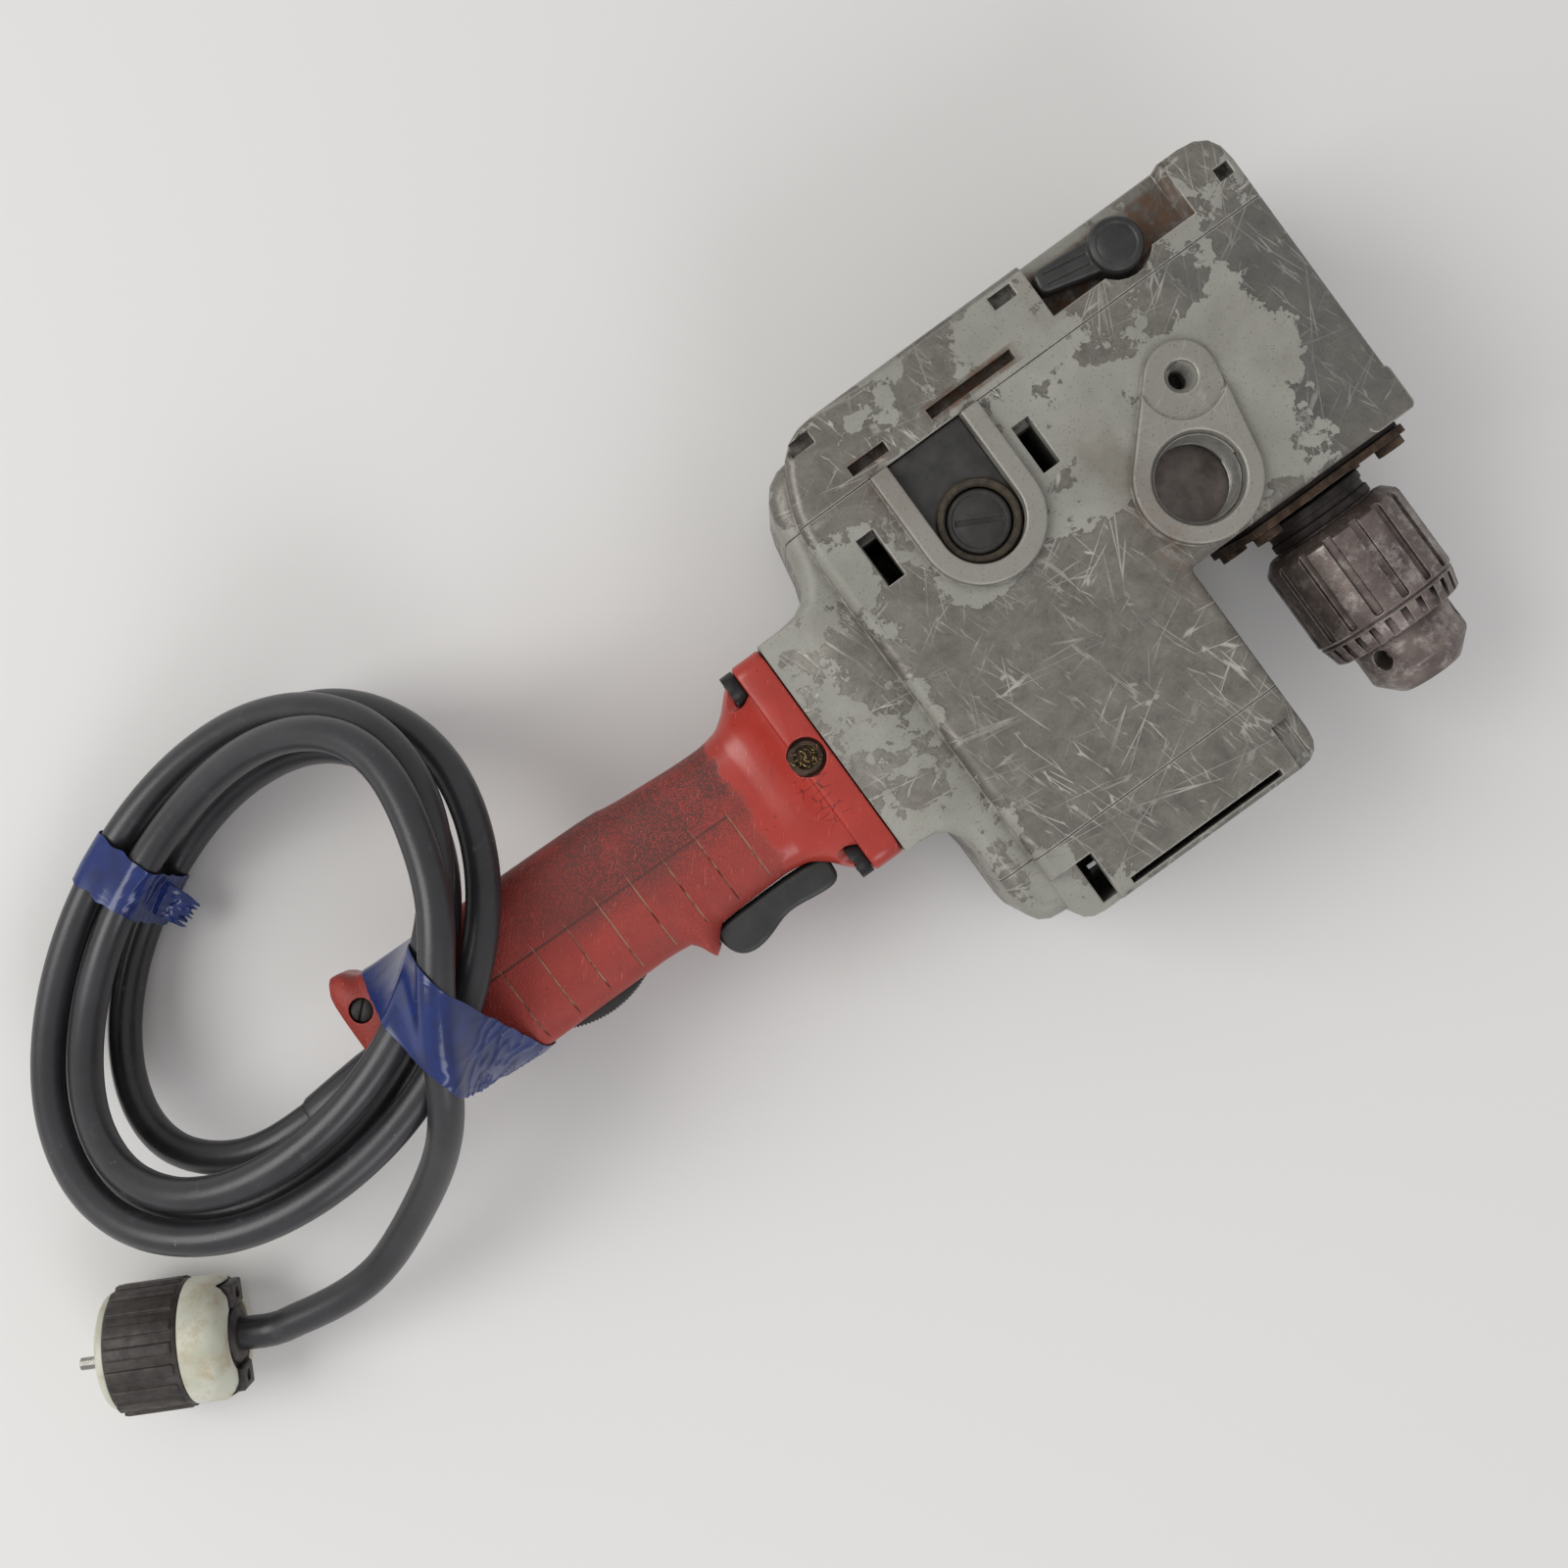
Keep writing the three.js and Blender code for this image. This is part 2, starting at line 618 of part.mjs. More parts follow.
// Spindle with the two loose gears, the shift collar between them and the fork
const shiftCollarOuter = 14;
const shiftCollarLength = 5;
const shiftGroove = 1.6;
const forkThickness = 1.8;
const collarY = lowPlane - gearGap / 2 - shiftCollarLength / 2 - clearance;
const buildSpindle = () => {
  const spindle = turned([
    [0, -collarStart - 3 * castingWall],
    [spindleRadius, -collarStart - 3 * castingWall],
    [spindleRadius, gearRoomBack + shaftEnd],
    [0, gearRoomBack + shaftEnd],
  ], spindleX);
  addSolid('spindle', spindle, 'steel');
  const bore = (y0) => rod(spindleRadius + shaftClearance, y0 - overrun, y0 + gearWidth + overrun, spindleX);
  addSolid('spindle_low_gear', gear(lowGearTeeth, phases.lowGear, lowPlane,
    spindleX).subtract(bore(lowPlane)), 'steel');
  addSolid('spindle_high_gear', gear(highGearTeeth, phases.highGear, highPlane,
    spindleX).subtract(bore(highPlane)), 'steel');
  const collarFront = collarY - shiftCollarLength / 2;
  const collarBack = collarY + shiftCollarLength / 2;
  const grooveFloor = shiftCollarOuter - 2 * forkThickness;
  addSolid('shift_collar', turned([
    [spindleRadius + shaftClearance, collarFront],
    [shiftCollarOuter, collarFront],
    [shiftCollarOuter, collarY - shiftGroove],
    [grooveFloor, collarY - shiftGroove],
    [grooveFloor, collarY + shiftGroove],
    [shiftCollarOuter, collarY + shiftGroove],
    [shiftCollarOuter, collarBack],
    [spindleRadius + shaftClearance, collarBack],
    [spindleRadius + shaftClearance, collarFront],
  ], spindleX), 'steel');
  addSolid('spindle_bearing', ring(spindleRadius + clearance, bearingOuter, -gearCaseFront,
    -gearCaseFront + bearingWidth, spindleX), 'steel');
};

// Fork: a half ring in the collar's groove, an arm and a slotted plate for the knob's pin
const buildFork = () => {
  const forkHalf = shiftGroove - clearance;
  const inner = shiftCollarOuter - 2 * forkThickness + clearance;
  const outer = shiftCollarOuter + 2 * forkThickness;
  const halfRing = ring(inner, outer, collarY - forkHalf, collarY + forkHalf, spindleX)
    .intersect(block(spindleX - outer, spindleX + outer, collarY - overrun, collarY + overrun, -forkThickness,
      outer));
  const plateTop = gearRoomTop - 2 * clearance;
  const plateBottom = plateTop - forkThickness;
  const armLeft = knobX - knobShaftRadius;
  const arm = block(spindleX - outer / 2, spindleX + outer / 4, collarY - forkHalf, collarY + forkHalf,
    shiftCollarOuter + clearance, plateTop);
  const pinY = knobY + knobPin[1];
  const slotHalf = knobPinRadius + clearance + knobThrow / 8;
  const plate = block(armLeft - 2 * forkThickness, spindleX + outer / 4, collarY - forkHalf,
    pinY + slotHalf + forkThickness,
    plateBottom, plateTop);
  const slot = block(knobX - knobPinRadius - clearance, knobX + knobThrow + knobPinRadius + clearance,
    pinY - slotHalf, pinY + slotHalf, plateBottom - overrun, plateTop + overrun);
  addSolid('shift_fork', union(halfRing, arm, plate).subtract(slot), 'brass');
};

const knobLeverTilt = 10;
const buildKnob = () => {
  const top = bossTop - knobRise;
  const floor = knobPocketFloor + clearance;
  const hub = post(knobHubRadius, 0, 0, floor, top, fine);
  const lever = slab(outline([
    [-knobLever, -knobLeverWidth / 2, knobLeverWidth / 3],
    [0, -knobLeverWidth / 2, 0],
    [0, knobLeverWidth / 2, 0],
    [-knobLever, knobLeverWidth / 2, knobLeverWidth / 3],
  ]), floor + knobRise, top - knobRise, smallStep, 3, 1);
  const shaft = post(knobShaftRadius, 0, 0, gearRoomTop + clearance, floor + overrun, coarse);
  const pin = post(knobPinRadius, ...knobPin, gearRoomTop - forkThickness - clearance, gearRoomTop + overrun,
    coarse);
  const turn = [0, 0, -knobLeverTilt];
  addSolid('shift_knob', union(hub.add(lever).rotate(turn), shaft, pin).translate(knobX, knobY, 0),
    'blackPlastic');
};

// Motor
const buildMotor = () => {
  const shaftFront = -barrelEnd + endWall + clearance;
  const pinionEnd = collarPlane + stageOneWidth;
  const pinionRoot = toothModule * pinionTeeth / 2 - rootShare * toothModule;
  const shaft = union(
    rod(motorShaftRadius, shaftFront, bearingWallBack + gearGap, motorX),
    rod(pinionRoot, bearingWallBack, pinionEnd, motorX, coarse),
    gear(pinionTeeth, phases.pinion, collarPlane, motorX, stageOneWidth));
  addSolid('armature_shaft', shaft, 'steel');
  const bore = motorShaftRadius + clearance;
  const slots = 12;
  const slotHalf = 1.6;
  const coreFront = -fieldFront + overrun;
  const coreBack = -fieldBack - overrun;
  const slotCuts = union(...Array.from({ length: slots },
    (_, i) => block(coreRadius - castingWall, coreRadius + overrun,
    coreFront - overrun, coreBack + overrun, -slotHalf,
      slotHalf).rotate([0, 360 * i / slots, 0]).translate(motorX, 0, 0)));
  const windingRadius = coreRadius - castingWall;
  const winding = turned([
    [bore, coreBack - smallStep],
    [windingRadius, coreBack - smallStep],
    [windingRadius, coreBack + windingReach],
    [commutatorRadius, commutatorY - commutatorLength / 2 - clearance],
    [bore, commutatorY - commutatorLength / 2 - clearance],
    [bore, coreBack - smallStep],
  ], motorX);
  addSolid('armature_core', ring(bore, coreRadius, coreFront, coreBack,
    motorX).subtract(slotCuts).add(winding),
    'laminations');
  addSolid('commutator', ring(bore, commutatorRadius, commutatorY - commutatorLength / 2,
    commutatorY + commutatorLength / 2,
    motorX), 'copper');
  const frame = ring(fieldInner, fieldOuter, -fieldFront, -fieldBack, motorX, fine);
  const gap = block(motorX - fieldOuter + 2 * castingWall, motorX + fieldOuter - 2 * castingWall,
    -fieldFront - overrun,
    -fieldBack + overrun, -fieldInner / 2, fieldInner / 2);
  addSolid('field_core', frame.subtract(gap), 'laminations');
  [-1, 1].forEach((side) => {
    const name = side < 0 ? 'field_coil_left' : 'field_coil_right';
    const inner = fieldInner + clearance;
    const outer = fieldOuter - 2 * castingWall - clearance;
    const coil = ring(inner, outer, -fieldFront - windingReach, -fieldBack + windingReach, motorX)
      .intersect(block(motorX + side * inner / 2 - fieldOuter / 2, motorX + side * inner / 2 + fieldOuter / 2,
        -barrelEnd, coverSeam, -fieldInner / 2 + clearance, fieldInner / 2 - clearance))
      .intersect(block(side < 0 ? motorX - fieldOuter : motorX + clearance,
        side < 0 ? motorX - clearance : motorX + fieldOuter,
        -barrelEnd, coverSeam, -half, half));
    addSolid(name, coil, 'copper');
  });
  const bearing = (name, y0) => addSolid(name, ring(bore, bearingOuter, y0, y0 + bearingWidth - clearance,
    motorX), 'steel');
  bearing('armature_front_bearing', -barrelEnd + endWall + clearance);
  bearing('armature_rear_bearing', brushRoomBack + clearance);
  const blades = 9;
  const bladeHalf = 0.9;
  const plateThick = 2;
  const hubRadius = motorShaftRadius + castingWall;
  const fanBack = -fanFront + fanDepth;
  const disc = ring(bore, fanRadius, fanBack - plateThick, fanBack, motorX);
  const hub = ring(bore, hubRadius, -fanFront, fanBack, motorX);
  const vanes = Array.from({ length: blades }, (_, i) => block(hubRadius - smallStep, fanRadius - smallStep,
    -fanFront + smallStep, fanBack - smallStep,
    -bladeHalf, bladeHalf).rotate([0, 360 * i / blades, 0]).translate(motorX, 0, 0));
  addSolid('cooling_fan', union(disc, hub, ...vanes), 'blackPlastic');
};

// Brush holders, caps and carbon brushes, one set for each face
const capSlotShare = 0.7;
const buildBrushes = () => {
  const top = bossTop - brushBlockDrop + brushCapDepth / 2;
  const capTop = bossTop - brushCapDrop + smallStep;
  const capFloor = capTop - brushCapDepth;
  const innerEnd = capFloor - castingWall;
  const brushStart = commutatorRadius + clearance;
  const wellHalfX = brushWide / 2 + clearance;
  const wellHalfY = brushThick / 2 + clearance;
  const seat = slab(brushBossShape(brushBossInner - clearance, brushRoomBack - commutatorY - clearance),
    innerEnd, top, 0,
    bossDetail);
  const upperTail = slab(brushBossShape(brushBossInner - clearance, brushBossLength - clearance),
    bossTop - brushBlockDrop + clearance, top, 0, bossDetail);
  const guideEnd = brushStart + overrun;
  const guide = block(brushX - wellHalfX - overrun, brushX + wellHalfX + overrun,
    commutatorY - wellHalfY - overrun,
    commutatorY + wellHalfY + overrun, guideEnd, innerEnd + overrun);
  const well = block(brushX - wellHalfX, brushX + wellHalfX, commutatorY - wellHalfY, commutatorY + wellHalfY,
    guideEnd - overrun, top + overrun);
  const capBore = post(brushCapRadius + clearance, brushX, commutatorY, capFloor - clearance, top + overrun,
    fine);
  const holder = union(seat, upperTail, guide).subtract(well).subtract(capBore);
  const slotHalf = 1.2;
  const slotDepth = 2;
  const slotReach = brushCapRadius * capSlotShare;
  const cap = post(brushCapRadius, brushX, commutatorY, capFloor, capTop, fine)
    .subtract(block(brushX - slotReach, brushX + slotReach, commutatorY - slotHalf,
      commutatorY + slotHalf, capTop - slotDepth, capTop + overrun));
  const brush = block(brushX - brushWide / 2, brushX + brushWide / 2, commutatorY - brushThick / 2,
    commutatorY + brushThick / 2, brushStart, capFloor - clearance);
  [['upper', 1], ['lower', -1]].forEach(([where, side]) => {
    const onSide = (solid) => (side > 0 ? solid : solid.mirror(mirrorZ));
    addSolid(`brush_holder_${where}`, onSide(holder), 'blackPlastic');
    addSolid(`brush_cap_${where}`, onSide(cap), 'blackPlastic');
    addSolid(`carbon_brush_${where}`, onSide(brush), 'carbon');
  });
};

// Chuck
const fluteCount = 16;
const fluteDepth = 1.8;
const ringTeeth = 26;
const toothDepth = 2.6;
const sleeveRoom = 25.2;
const jawTravelRoom = 9;
const keyHoleDepth = 9;
const spindleReach = 15;
const shankRoomDepth = 40;
const fluteLandShare = 0.62;
const toothLandShare = 0.5;
const flankShare = 0.3;
const tiltRadians = THREE.MathUtils.degToRad(jawTilt);
const jawBack = jawOpening / 2 / Math.tan(tiltRadians);

// A jaw's line runs from the nose, out and back under the sleeve
const jawLine = (solid, turn) => solid.rotate([0, 0, -jawTilt]).translate(jawRadius / 2, -noseEnd, 0)
  .rotate([0, turn, 0]).translate(spindleX, 0, 0);
const jawTurn = (i) => 90 - keyHoleAngle + 180 / jawCount + 360 * i / jawCount;

// A prism whose outline has evenly spaced notches
const notched = (radius, depth, count, landShare, y0, y1) => {
  const points = [];
  for (let i = 0; i < count; i++) {
    const start = 2 * Math.PI * i / count;
    const step = 2 * Math.PI / count;
    [[radius, 0], [radius, landShare], [radius - depth, landShare + (1 - landShare) * flankShare],
      [radius - depth, 1 - (1 - landShare) * flankShare]].forEach(([r, share]) => points.push(
      new THREE.Vector2(r * Math.cos(start + share * step), r * Math.sin(start + share * step))));
  }
  return slab(new THREE.Shape(points), y0, y1).rotate(lyingAlongY);
};

const buildChuck = () => {
  const bodyShape = turned([
    [0, -noseEnd],
    [noseRadius - noseChamfer, -noseEnd],
    [noseRadius, -noseEnd + noseChamfer],
    [noseRadius, -sleeveStart],
    [collarRadius, -sleeveStart + clearance],
    [collarRadius, -collarStart],
    [0, -collarStart],
  ], spindleX, fine);
  const shankRoom = rod(chuckBore, -noseEnd - overrun, -collarStart - shankRoomDepth, spindleX);
  const spindleThread = rod(spindleRadius + clearance, -collarStart - spindleReach - clearance,
    -collarStart + overrun,
    spindleX);
  const jawBores = union(...Array.from({ length: jawCount }, (_, i) => jawLine(
    rod(jawRadius + clearance, -overrun, jawLength + jawBack / Math.cos(tiltRadians) + jawTravelRoom),
      jawTurn(i))));
  const keyHoles = union(...Array.from({ length: jawCount },
    (_, i) => post(keyHoleRadius, 0, 0, noseRadius - keyHoleDepth,
    noseRadius + overrun, coarse).rotate([0, -keyHoleAngle + 360 * i / jawCount, 0]).translate(spindleX,
      -keyHoleY, 0)));
  const hollows = shankRoom.add(spindleThread).add(jawBores).add(keyHoles);
  addSolid('chuck_body', bodyShape.subtract(hollows), 'darkSteel');

  const grip = notched(sleeveRadius, fluteDepth, fluteCount, fluteLandShare, -toothRingStart,
    -sleeveStart).intersect(turned([
    [0, -toothRingStart],
    [sleeveRadius, -toothRingStart],
    [sleeveRadius, -sleeveStart - castingWall],
    [sleeveRadius - castingWall, -sleeveStart],
    [0, -sleeveStart],
  ], 0, fine));
  const toothRing = notched(sleeveRadius, toothDepth, ringTeeth, toothLandShare, -sleeveEnd,
    -toothRingStart).intersect(turned([
    [0, -sleeveEnd],
    [sleeveRadius - toothDepth, -sleeveEnd],
    [sleeveRadius - smallStep, -toothRingStart],
    [0, -toothRingStart],
  ], 0, fine));
  const overlapBand = rod(sleeveRadius - toothDepth, -toothRingStart - smallStep, -toothRingStart + smallStep,
    0, fine);
  const insideOfSleeve = turned([
    [0, -sleeveEnd - overrun],
    [noseRadius + clearance, -sleeveEnd - overrun],
    [noseRadius + clearance, -toothRingStart],
    [sleeveRoom, -toothRingStart + castingWall],
    [sleeveRoom, -sleeveStart - 2 * castingWall / 3],
    [noseRadius + clearance, -sleeveStart - 2 * castingWall / 3 + clearance],
    [noseRadius + clearance, -sleeveStart + overrun],
    [0, -sleeveStart + overrun],
  ], 0, fine);
  addSolid('chuck_sleeve', union(grip, toothRing, overlapBand).subtract(insideOfSleeve).translate(spindleX,
    -clearance, 0),
    'darkSteel');

  // Each jaw is a rod cut along the chuck's axis to a blunt wedge, drawn back by the opening at rest
  for (let i = 0; i < jawCount; i++) {
    const bar = rod(jawRadius, smallStep, jawLength + smallStep, 0,
      medium).rotate([0, 0, -jawTilt]).translate(jawRadius / 2, 0, 0);
    const wedge = slab(outline([[0, 0, 0], [3 * sleeveRadius, -3 * sleeveRadius * Math.tan(Math.PI / 3), 0],
      [3 * sleeveRadius, 3 * sleeveRadius * Math.tan(Math.PI / 3), 0]]), -overrun,
        2 * jawLength).rotate(lyingAlongY)
      .translate(clearance, 0, 0);
    const back = [jawBack * Math.tan(tiltRadians), jawBack, 0];
    addSolid(`chuck_jaw_${i + 1}`, bar.intersect(wedge).translate(back).translate(0, -noseEnd, 0)
      .rotate([0, jawTurn(i), 0]).translate(spindleX, 0, 0), 'steel');
  }
};

// Handle

// Sections along the grip: distance from the joint, upper and lower edge and half height, as shares
const gripSectionShares = [
  [1.000, 1.12, -0.70, 0.74],
  [0.985, 1.24, -0.80, 0.86],
  [0.965, 1.22, -0.84, 0.94],
  [0.940, 1.09, -0.87, 0.98],
  [0.880, 1.06, -0.93, 1.00],
  [0.700, 1.05, -1.02, 1.00],
  [0.480, 1.02, -1.02, 1.00],
  [0.415, 1.00, -1.06, 1.00],
  [0.400, 0.98, -1.20, 1.00],
  [0.388, 0.97, -1.40, 1.00],
  [0.376, 0.96, -1.34, 1.00],
  [0.340, 0.94, -1.08, 1.00],
  [0.200, 0.89, -1.05, 1.00],
  [0.155, 0.93, -1.10, 1.02],
  [0.125, 1.04, -1.24, 1.10],
  [0.100, 1.19, -1.45, 1.24],
  [0.078, 1.31, -1.60, 1.42],
  [0.060, 1.36, -1.66, 1.56],
  [0.050, 1.37, -1.67, 1.58],
];
const sectionPoints = 16;
const sectionPower = 0.5;
const signedPower = (value, power) => Math.sign(value) * Math.abs(value) ** power;

// Joins oblong sections [x, top, bottom, halfHeight] into one closed skin
const loft = (sections, inset = 0) => {
  const positions = [];
  sections.forEach(([x, top, bottom, halfHeight]) => {
    const middle = (top + bottom) / 2;
    for (let i = 0; i < sectionPoints; i++) {
      const angle = 2 * Math.PI * (i + 0.5) / sectionPoints;
      positions.push(x, middle + ((top - bottom) / 2 - inset) * signedPower(Math.cos(angle), sectionPower),
        (halfHeight - inset) * signedPower(Math.sin(angle), sectionPower));
    }
  });
  const index = [];
  for (let ringIndex = 0; ringIndex < sections.length - 1; ringIndex++) {
    for (let i = 0; i < sectionPoints; i++) {
      const a = ringIndex * sectionPoints + i;
      const b = ringIndex * sectionPoints + (i + 1) % sectionPoints;
      index.push(a, b, b + sectionPoints, a, b + sectionPoints, a + sectionPoints);
    }
  }
  const last = (sections.length - 1) * sectionPoints;
  for (let i = 1; i < sectionPoints - 1; i++) {
    index.push(0, i + 1, i);
    index.push(last, last + i, last + i + 1);
  }
  const geometry = new THREE.BufferGeometry();
  geometry.setAttribute('position', new THREE.Float32BufferAttribute(positions, 3));
  geometry.setIndex(index);
  return solidOf(geometry);
};

const gripSections = () => gripSectionShares.map(([along, top, bottom, height]) => [
  -along * handleLength, top * gripTop, bottom * gripBottom, height * gripHalfHeight]);

// Trigger opening and the pieces that show in it
const triggerHinge = -24;
const triggerHingeY = -33;
const triggerEndShare = 0.3663;
const triggerEnd = -handleLength * triggerEndShare;
const triggerOuter = 41.5;
const triggerTop = 28;
const triggerHalf = 11;
const triggerTravel = 8;
const leverShare = 0.6;
const leverX = -handleLength * leverShare;
const leverY = 9;
const leverRadius = 40;
const leverHalf = 4;
const leverSwing = 8;
const leverHalfAngle = 24;
const leverTeeth = 22;

const flangeScrewSpread = 38;
const flangeScrewHeight = 25;
const screwHeadRadius = 6.5;
const screwHeadHeight = 5;
const screwRadius = 2.6;
const centreScrewX = -9;
const centreScrewY = 3;
const centreScrewPocket = 7;
const pommelScrewInset = 8;
const pommelScrewX = -handleLength + pommelScrewInset;
const pommelScrewY = 24;
const pommelScrewRadius = 4.4;
const pommelDepthShare = 0.7;
const hollowEndShare = 0.95;
const cordHoleShare = 0.9;
const triggerRound = 1.5;
const switchHalf = 15;
const switchBack = 12;
const serration = 0.7;
const protectorRadius = 9.5;
const protectorY = 3;

const buildHandle = () => {
  const sections = gripSections();
  const grip = loft(sections);
  const flange = slab(outline([
    [-flangeHalfWidth, -neckHalfHeight, shoulderRound],
    [flangeHalfWidth, -neckHalfHeight, shoulderRound],
    [flangeHalfWidth, neckHalfHeight, shoulderRound],
    [-flangeHalfWidth, neckHalfHeight, shoulderRound],
  ]), -flangeThickness, -clearance, smallStep, 4, 1).rotate(lyingAlongX);
  const hollow = loft(sections.filter(([x]) => x > -handleLength * hollowEndShare), handleWall);
  const flangeHole = block(-flangeThickness - overrun, overrun, -gripBottom, gripTop, -gripHalfHeight,
    gripHalfHeight);
  const triggerSlot = block(triggerEnd - smallStep, triggerHinge + overrun, -triggerOuter - 3 * overrun,
    -gripBottom + handleWall,
    -triggerHalf - 2 * clearance, triggerHalf + 2 * clearance);
  const leverReach = leverRadius * Math.sin(THREE.MathUtils.degToRad(leverHalfAngle + leverSwing)) + 2 * clearance;
  const leverSlot = block(leverX - leverReach, leverX + leverReach, -gripBottom - 3 * overrun,
    -gripBottom + 2 * handleWall, -leverHalf - clearance, leverHalf + clearance);
  const cordHole = rod(protectorRadius - castingWall / 2 + clearance, 0, handleLength).rotate([0, 0, 90])
    .translate(0, protectorY, 0).intersect(block(-handleLength - overrun, -handleLength * cordHoleShare,
      -gripBottom, gripTop,
      -gripHalfHeight, gripHalfHeight));
  const screwHoles = union(...[[-1, -1], [1, -1], [1, 1],
    [-1, 1]].map(([j, k]) => rod(screwHeadRadius + clearance,
    flangeThickness, handleLength / 4, 0, coarse).add(rod(screwRadius + clearance, -overrun, handleLength / 4,
      0, coarse))
    .rotate([0, 0, 90]).translate(0, j * flangeScrewSpread, k * flangeScrewHeight)));
  const centrePocket = onBothFaces(post(centreScrewPocket, centreScrewX, centreScrewY,
    neckHalfHeight - castingWall,
    neckHalfHeight + overrun)).add(post(screwRadius + clearance, centreScrewX, centreScrewY, -neckHalfHeight,
    neckHalfHeight, coarse));
  const centrePillar = post(2 * screwRadius, centreScrewX, centreScrewY, -neckHalfHeight + smallStep,
    neckHalfHeight - smallStep, coarse);
  const pommelBore = post(screwRadius + clearance, pommelScrewX, pommelScrewY, -gripHalfHeight,
    gripHalfHeight, coarse)
    .add(onBothFaces(post(pommelScrewRadius + clearance, pommelScrewX, pommelScrewY,
      gripHalfHeight * pommelDepthShare,
      gripHalfHeight + overrun, coarse)));
  const switchPads = onBothFaces(union(...[triggerEnd, triggerHinge - 4 * edgeRound].map((x) => block(x,
    x + castingWall,
    0, switchBack - overrun, switchHalf + clearance, gripHalfHeight - smallStep))));
  const whole = grip.add(flange).subtract(hollow).subtract(flangeHole).add(centrePillar)
    .subtract(triggerSlot).subtract(leverSlot).subtract(cordHole).subtract(screwHoles).subtract(centrePocket)
    .subtract(pommelBore).add(switchPads);
  const span = 2 * handleLength;
  addSolid('handle_upper_half', whole.intersect(block(-span, span, -span, span, clearance / 2, span)),
    'redPlastic');
  addSolid('handle_lower_half', whole.intersect(block(-span, span, -span, span, -span, -clearance / 2)),
    'redPlastic');

  [[-1, -1], [1, -1], [1, 1], [-1, 1]].forEach(([j, k], i) => {
    const headFront = flangeThickness + clearance;
    const screw = rod(screwHeadRadius, headFront, headFront + screwHeadHeight, 0, coarse)
      .add(rod(screwRadius, clearance * 2, headFront + smallStep, 0, coarse))
      .rotate([0, 0, 90]).translate(0, j * flangeScrewSpread, k * flangeScrewHeight);
    addSolid(`flange_screw_${i + 1}`, screw, 'darkSteel');
  });
  const screwEnd = neckHalfHeight - castingWall + clearance;
  addSolid('centre_screw', post(screwRadius, centreScrewX, centreScrewY, -screwEnd - clearance,
    screwEnd + smallStep, coarse)
    .add(post(centreScrewPocket - smallStep, centreScrewX, centreScrewY, screwEnd, screwEnd + overrun,
      coarse)), 'rustySteel');
  const pommelHead = gripHalfHeight * pommelDepthShare + clearance;
  addSolid('pommel_screw', post(screwRadius, pommelScrewX, pommelScrewY, -pommelHead, pommelHead + smallStep,
    coarse)
    .add(post(pommelScrewRadius, pommelScrewX, pommelScrewY, pommelHead, pommelHead + overrun, coarse)),
      'darkSteel');
};

const buildSwitch = () => {
  const tip = triggerOuter + edgeRound / 2;
  const blade = slab(outline([
    [triggerEnd, -tip, edgeRound],
    [triggerEnd + 3 * edgeRound, -tip, edgeRound / 2],
    [triggerEnd + 4.5 * edgeRound, -triggerOuter, edgeRound / 2],
    [triggerHinge, -triggerOuter, edgeRound],
    [triggerHinge, -triggerTop, edgeRound],
    [triggerEnd, -triggerTop, edgeRound],
  ]), -triggerHalf, triggerHalf, triggerRound, 3, 2);
  addSolid('trigger', blade, 'blackPlastic');
  const switchBottom = triggerTop - triggerTravel - smallStep;
  addSolid('switch_body', slab(outline([
    [triggerEnd - 2 * edgeRound, -switchBottom, smallStep],
    [triggerHinge - 2 * edgeRound, -switchBottom, smallStep],
    [triggerHinge - 2 * edgeRound, switchBack, smallStep],
    [triggerEnd - 2 * edgeRound, switchBack, smallStep],
  ]), -switchHalf, switchHalf), 'blackPlastic');
  const points = [[0, 0]];
  const steps = 2 * leverTeeth;
  for (let i = 0; i <= steps; i++) {
    const angle = THREE.MathUtils.degToRad(-90 - leverHalfAngle + 2 * leverHalfAngle * i / steps);
    const radius = leverRadius - (i % 2 ? serration : 0);
    points.push([radius * Math.cos(angle), radius * Math.sin(angle)]);
  }
  const sector = new THREE.Shape(points.map(([x, y]) => new THREE.Vector2(leverX + x, leverY + y)));
  addSolid('reversing_lever', slab(sector, -leverHalf, leverHalf), 'blackPlastic');
};

// Cord, plug and tape

// A tube of six or more sides along a list of points, as one closed skin
const tube = (points, radius, sides) => {
  const curve = points.map((point) => new THREE.Vector3(...point));
  const positions = [];
  let normal = new THREE.Vector3(0, 0, 1);
  curve.forEach((point, i) => {
    const before = curve[Math.max(i - 1, 0)];
    const after = curve[Math.min(i + 1, curve.length - 1)];
    const tangent = after.clone().sub(before).normalize();
    normal = normal.clone().addScaledVector(tangent, -normal.dot(tangent)).normalize();
    const side = new THREE.Vector3().crossVectors(tangent, normal);
    for (let k = 0; k < sides; k++) {
      const angle = 2 * Math.PI * k / sides;
      const corner = point.clone().addScaledVector(normal, radius * Math.cos(angle))
        .addScaledVector(side, radius * Math.sin(angle));
      positions.push(corner.x, corner.y, corner.z);
    }
  });
  const index = [];
  for (let i = 0; i < curve.length - 1; i++) {
    for (let k = 0; k < sides; k++) {
      const a = i * sides + k;
      const b = i * sides + (k + 1) % sides;
      index.push(a, b, b + sides, a, b + sides, a + sides);
    }
  }
  const last = (curve.length - 1) * sides;
  for (let k = 1; k < sides - 1; k++) {
    index.push(0, k + 1, k);
    index.push(last, last + k, last + k + 1);
  }
  const geometry = new THREE.BufferGeometry();
  geometry.setAttribute('position', new THREE.Float32BufferAttribute(positions, 3));
  geometry.setIndex(index);
  return geometry;
};

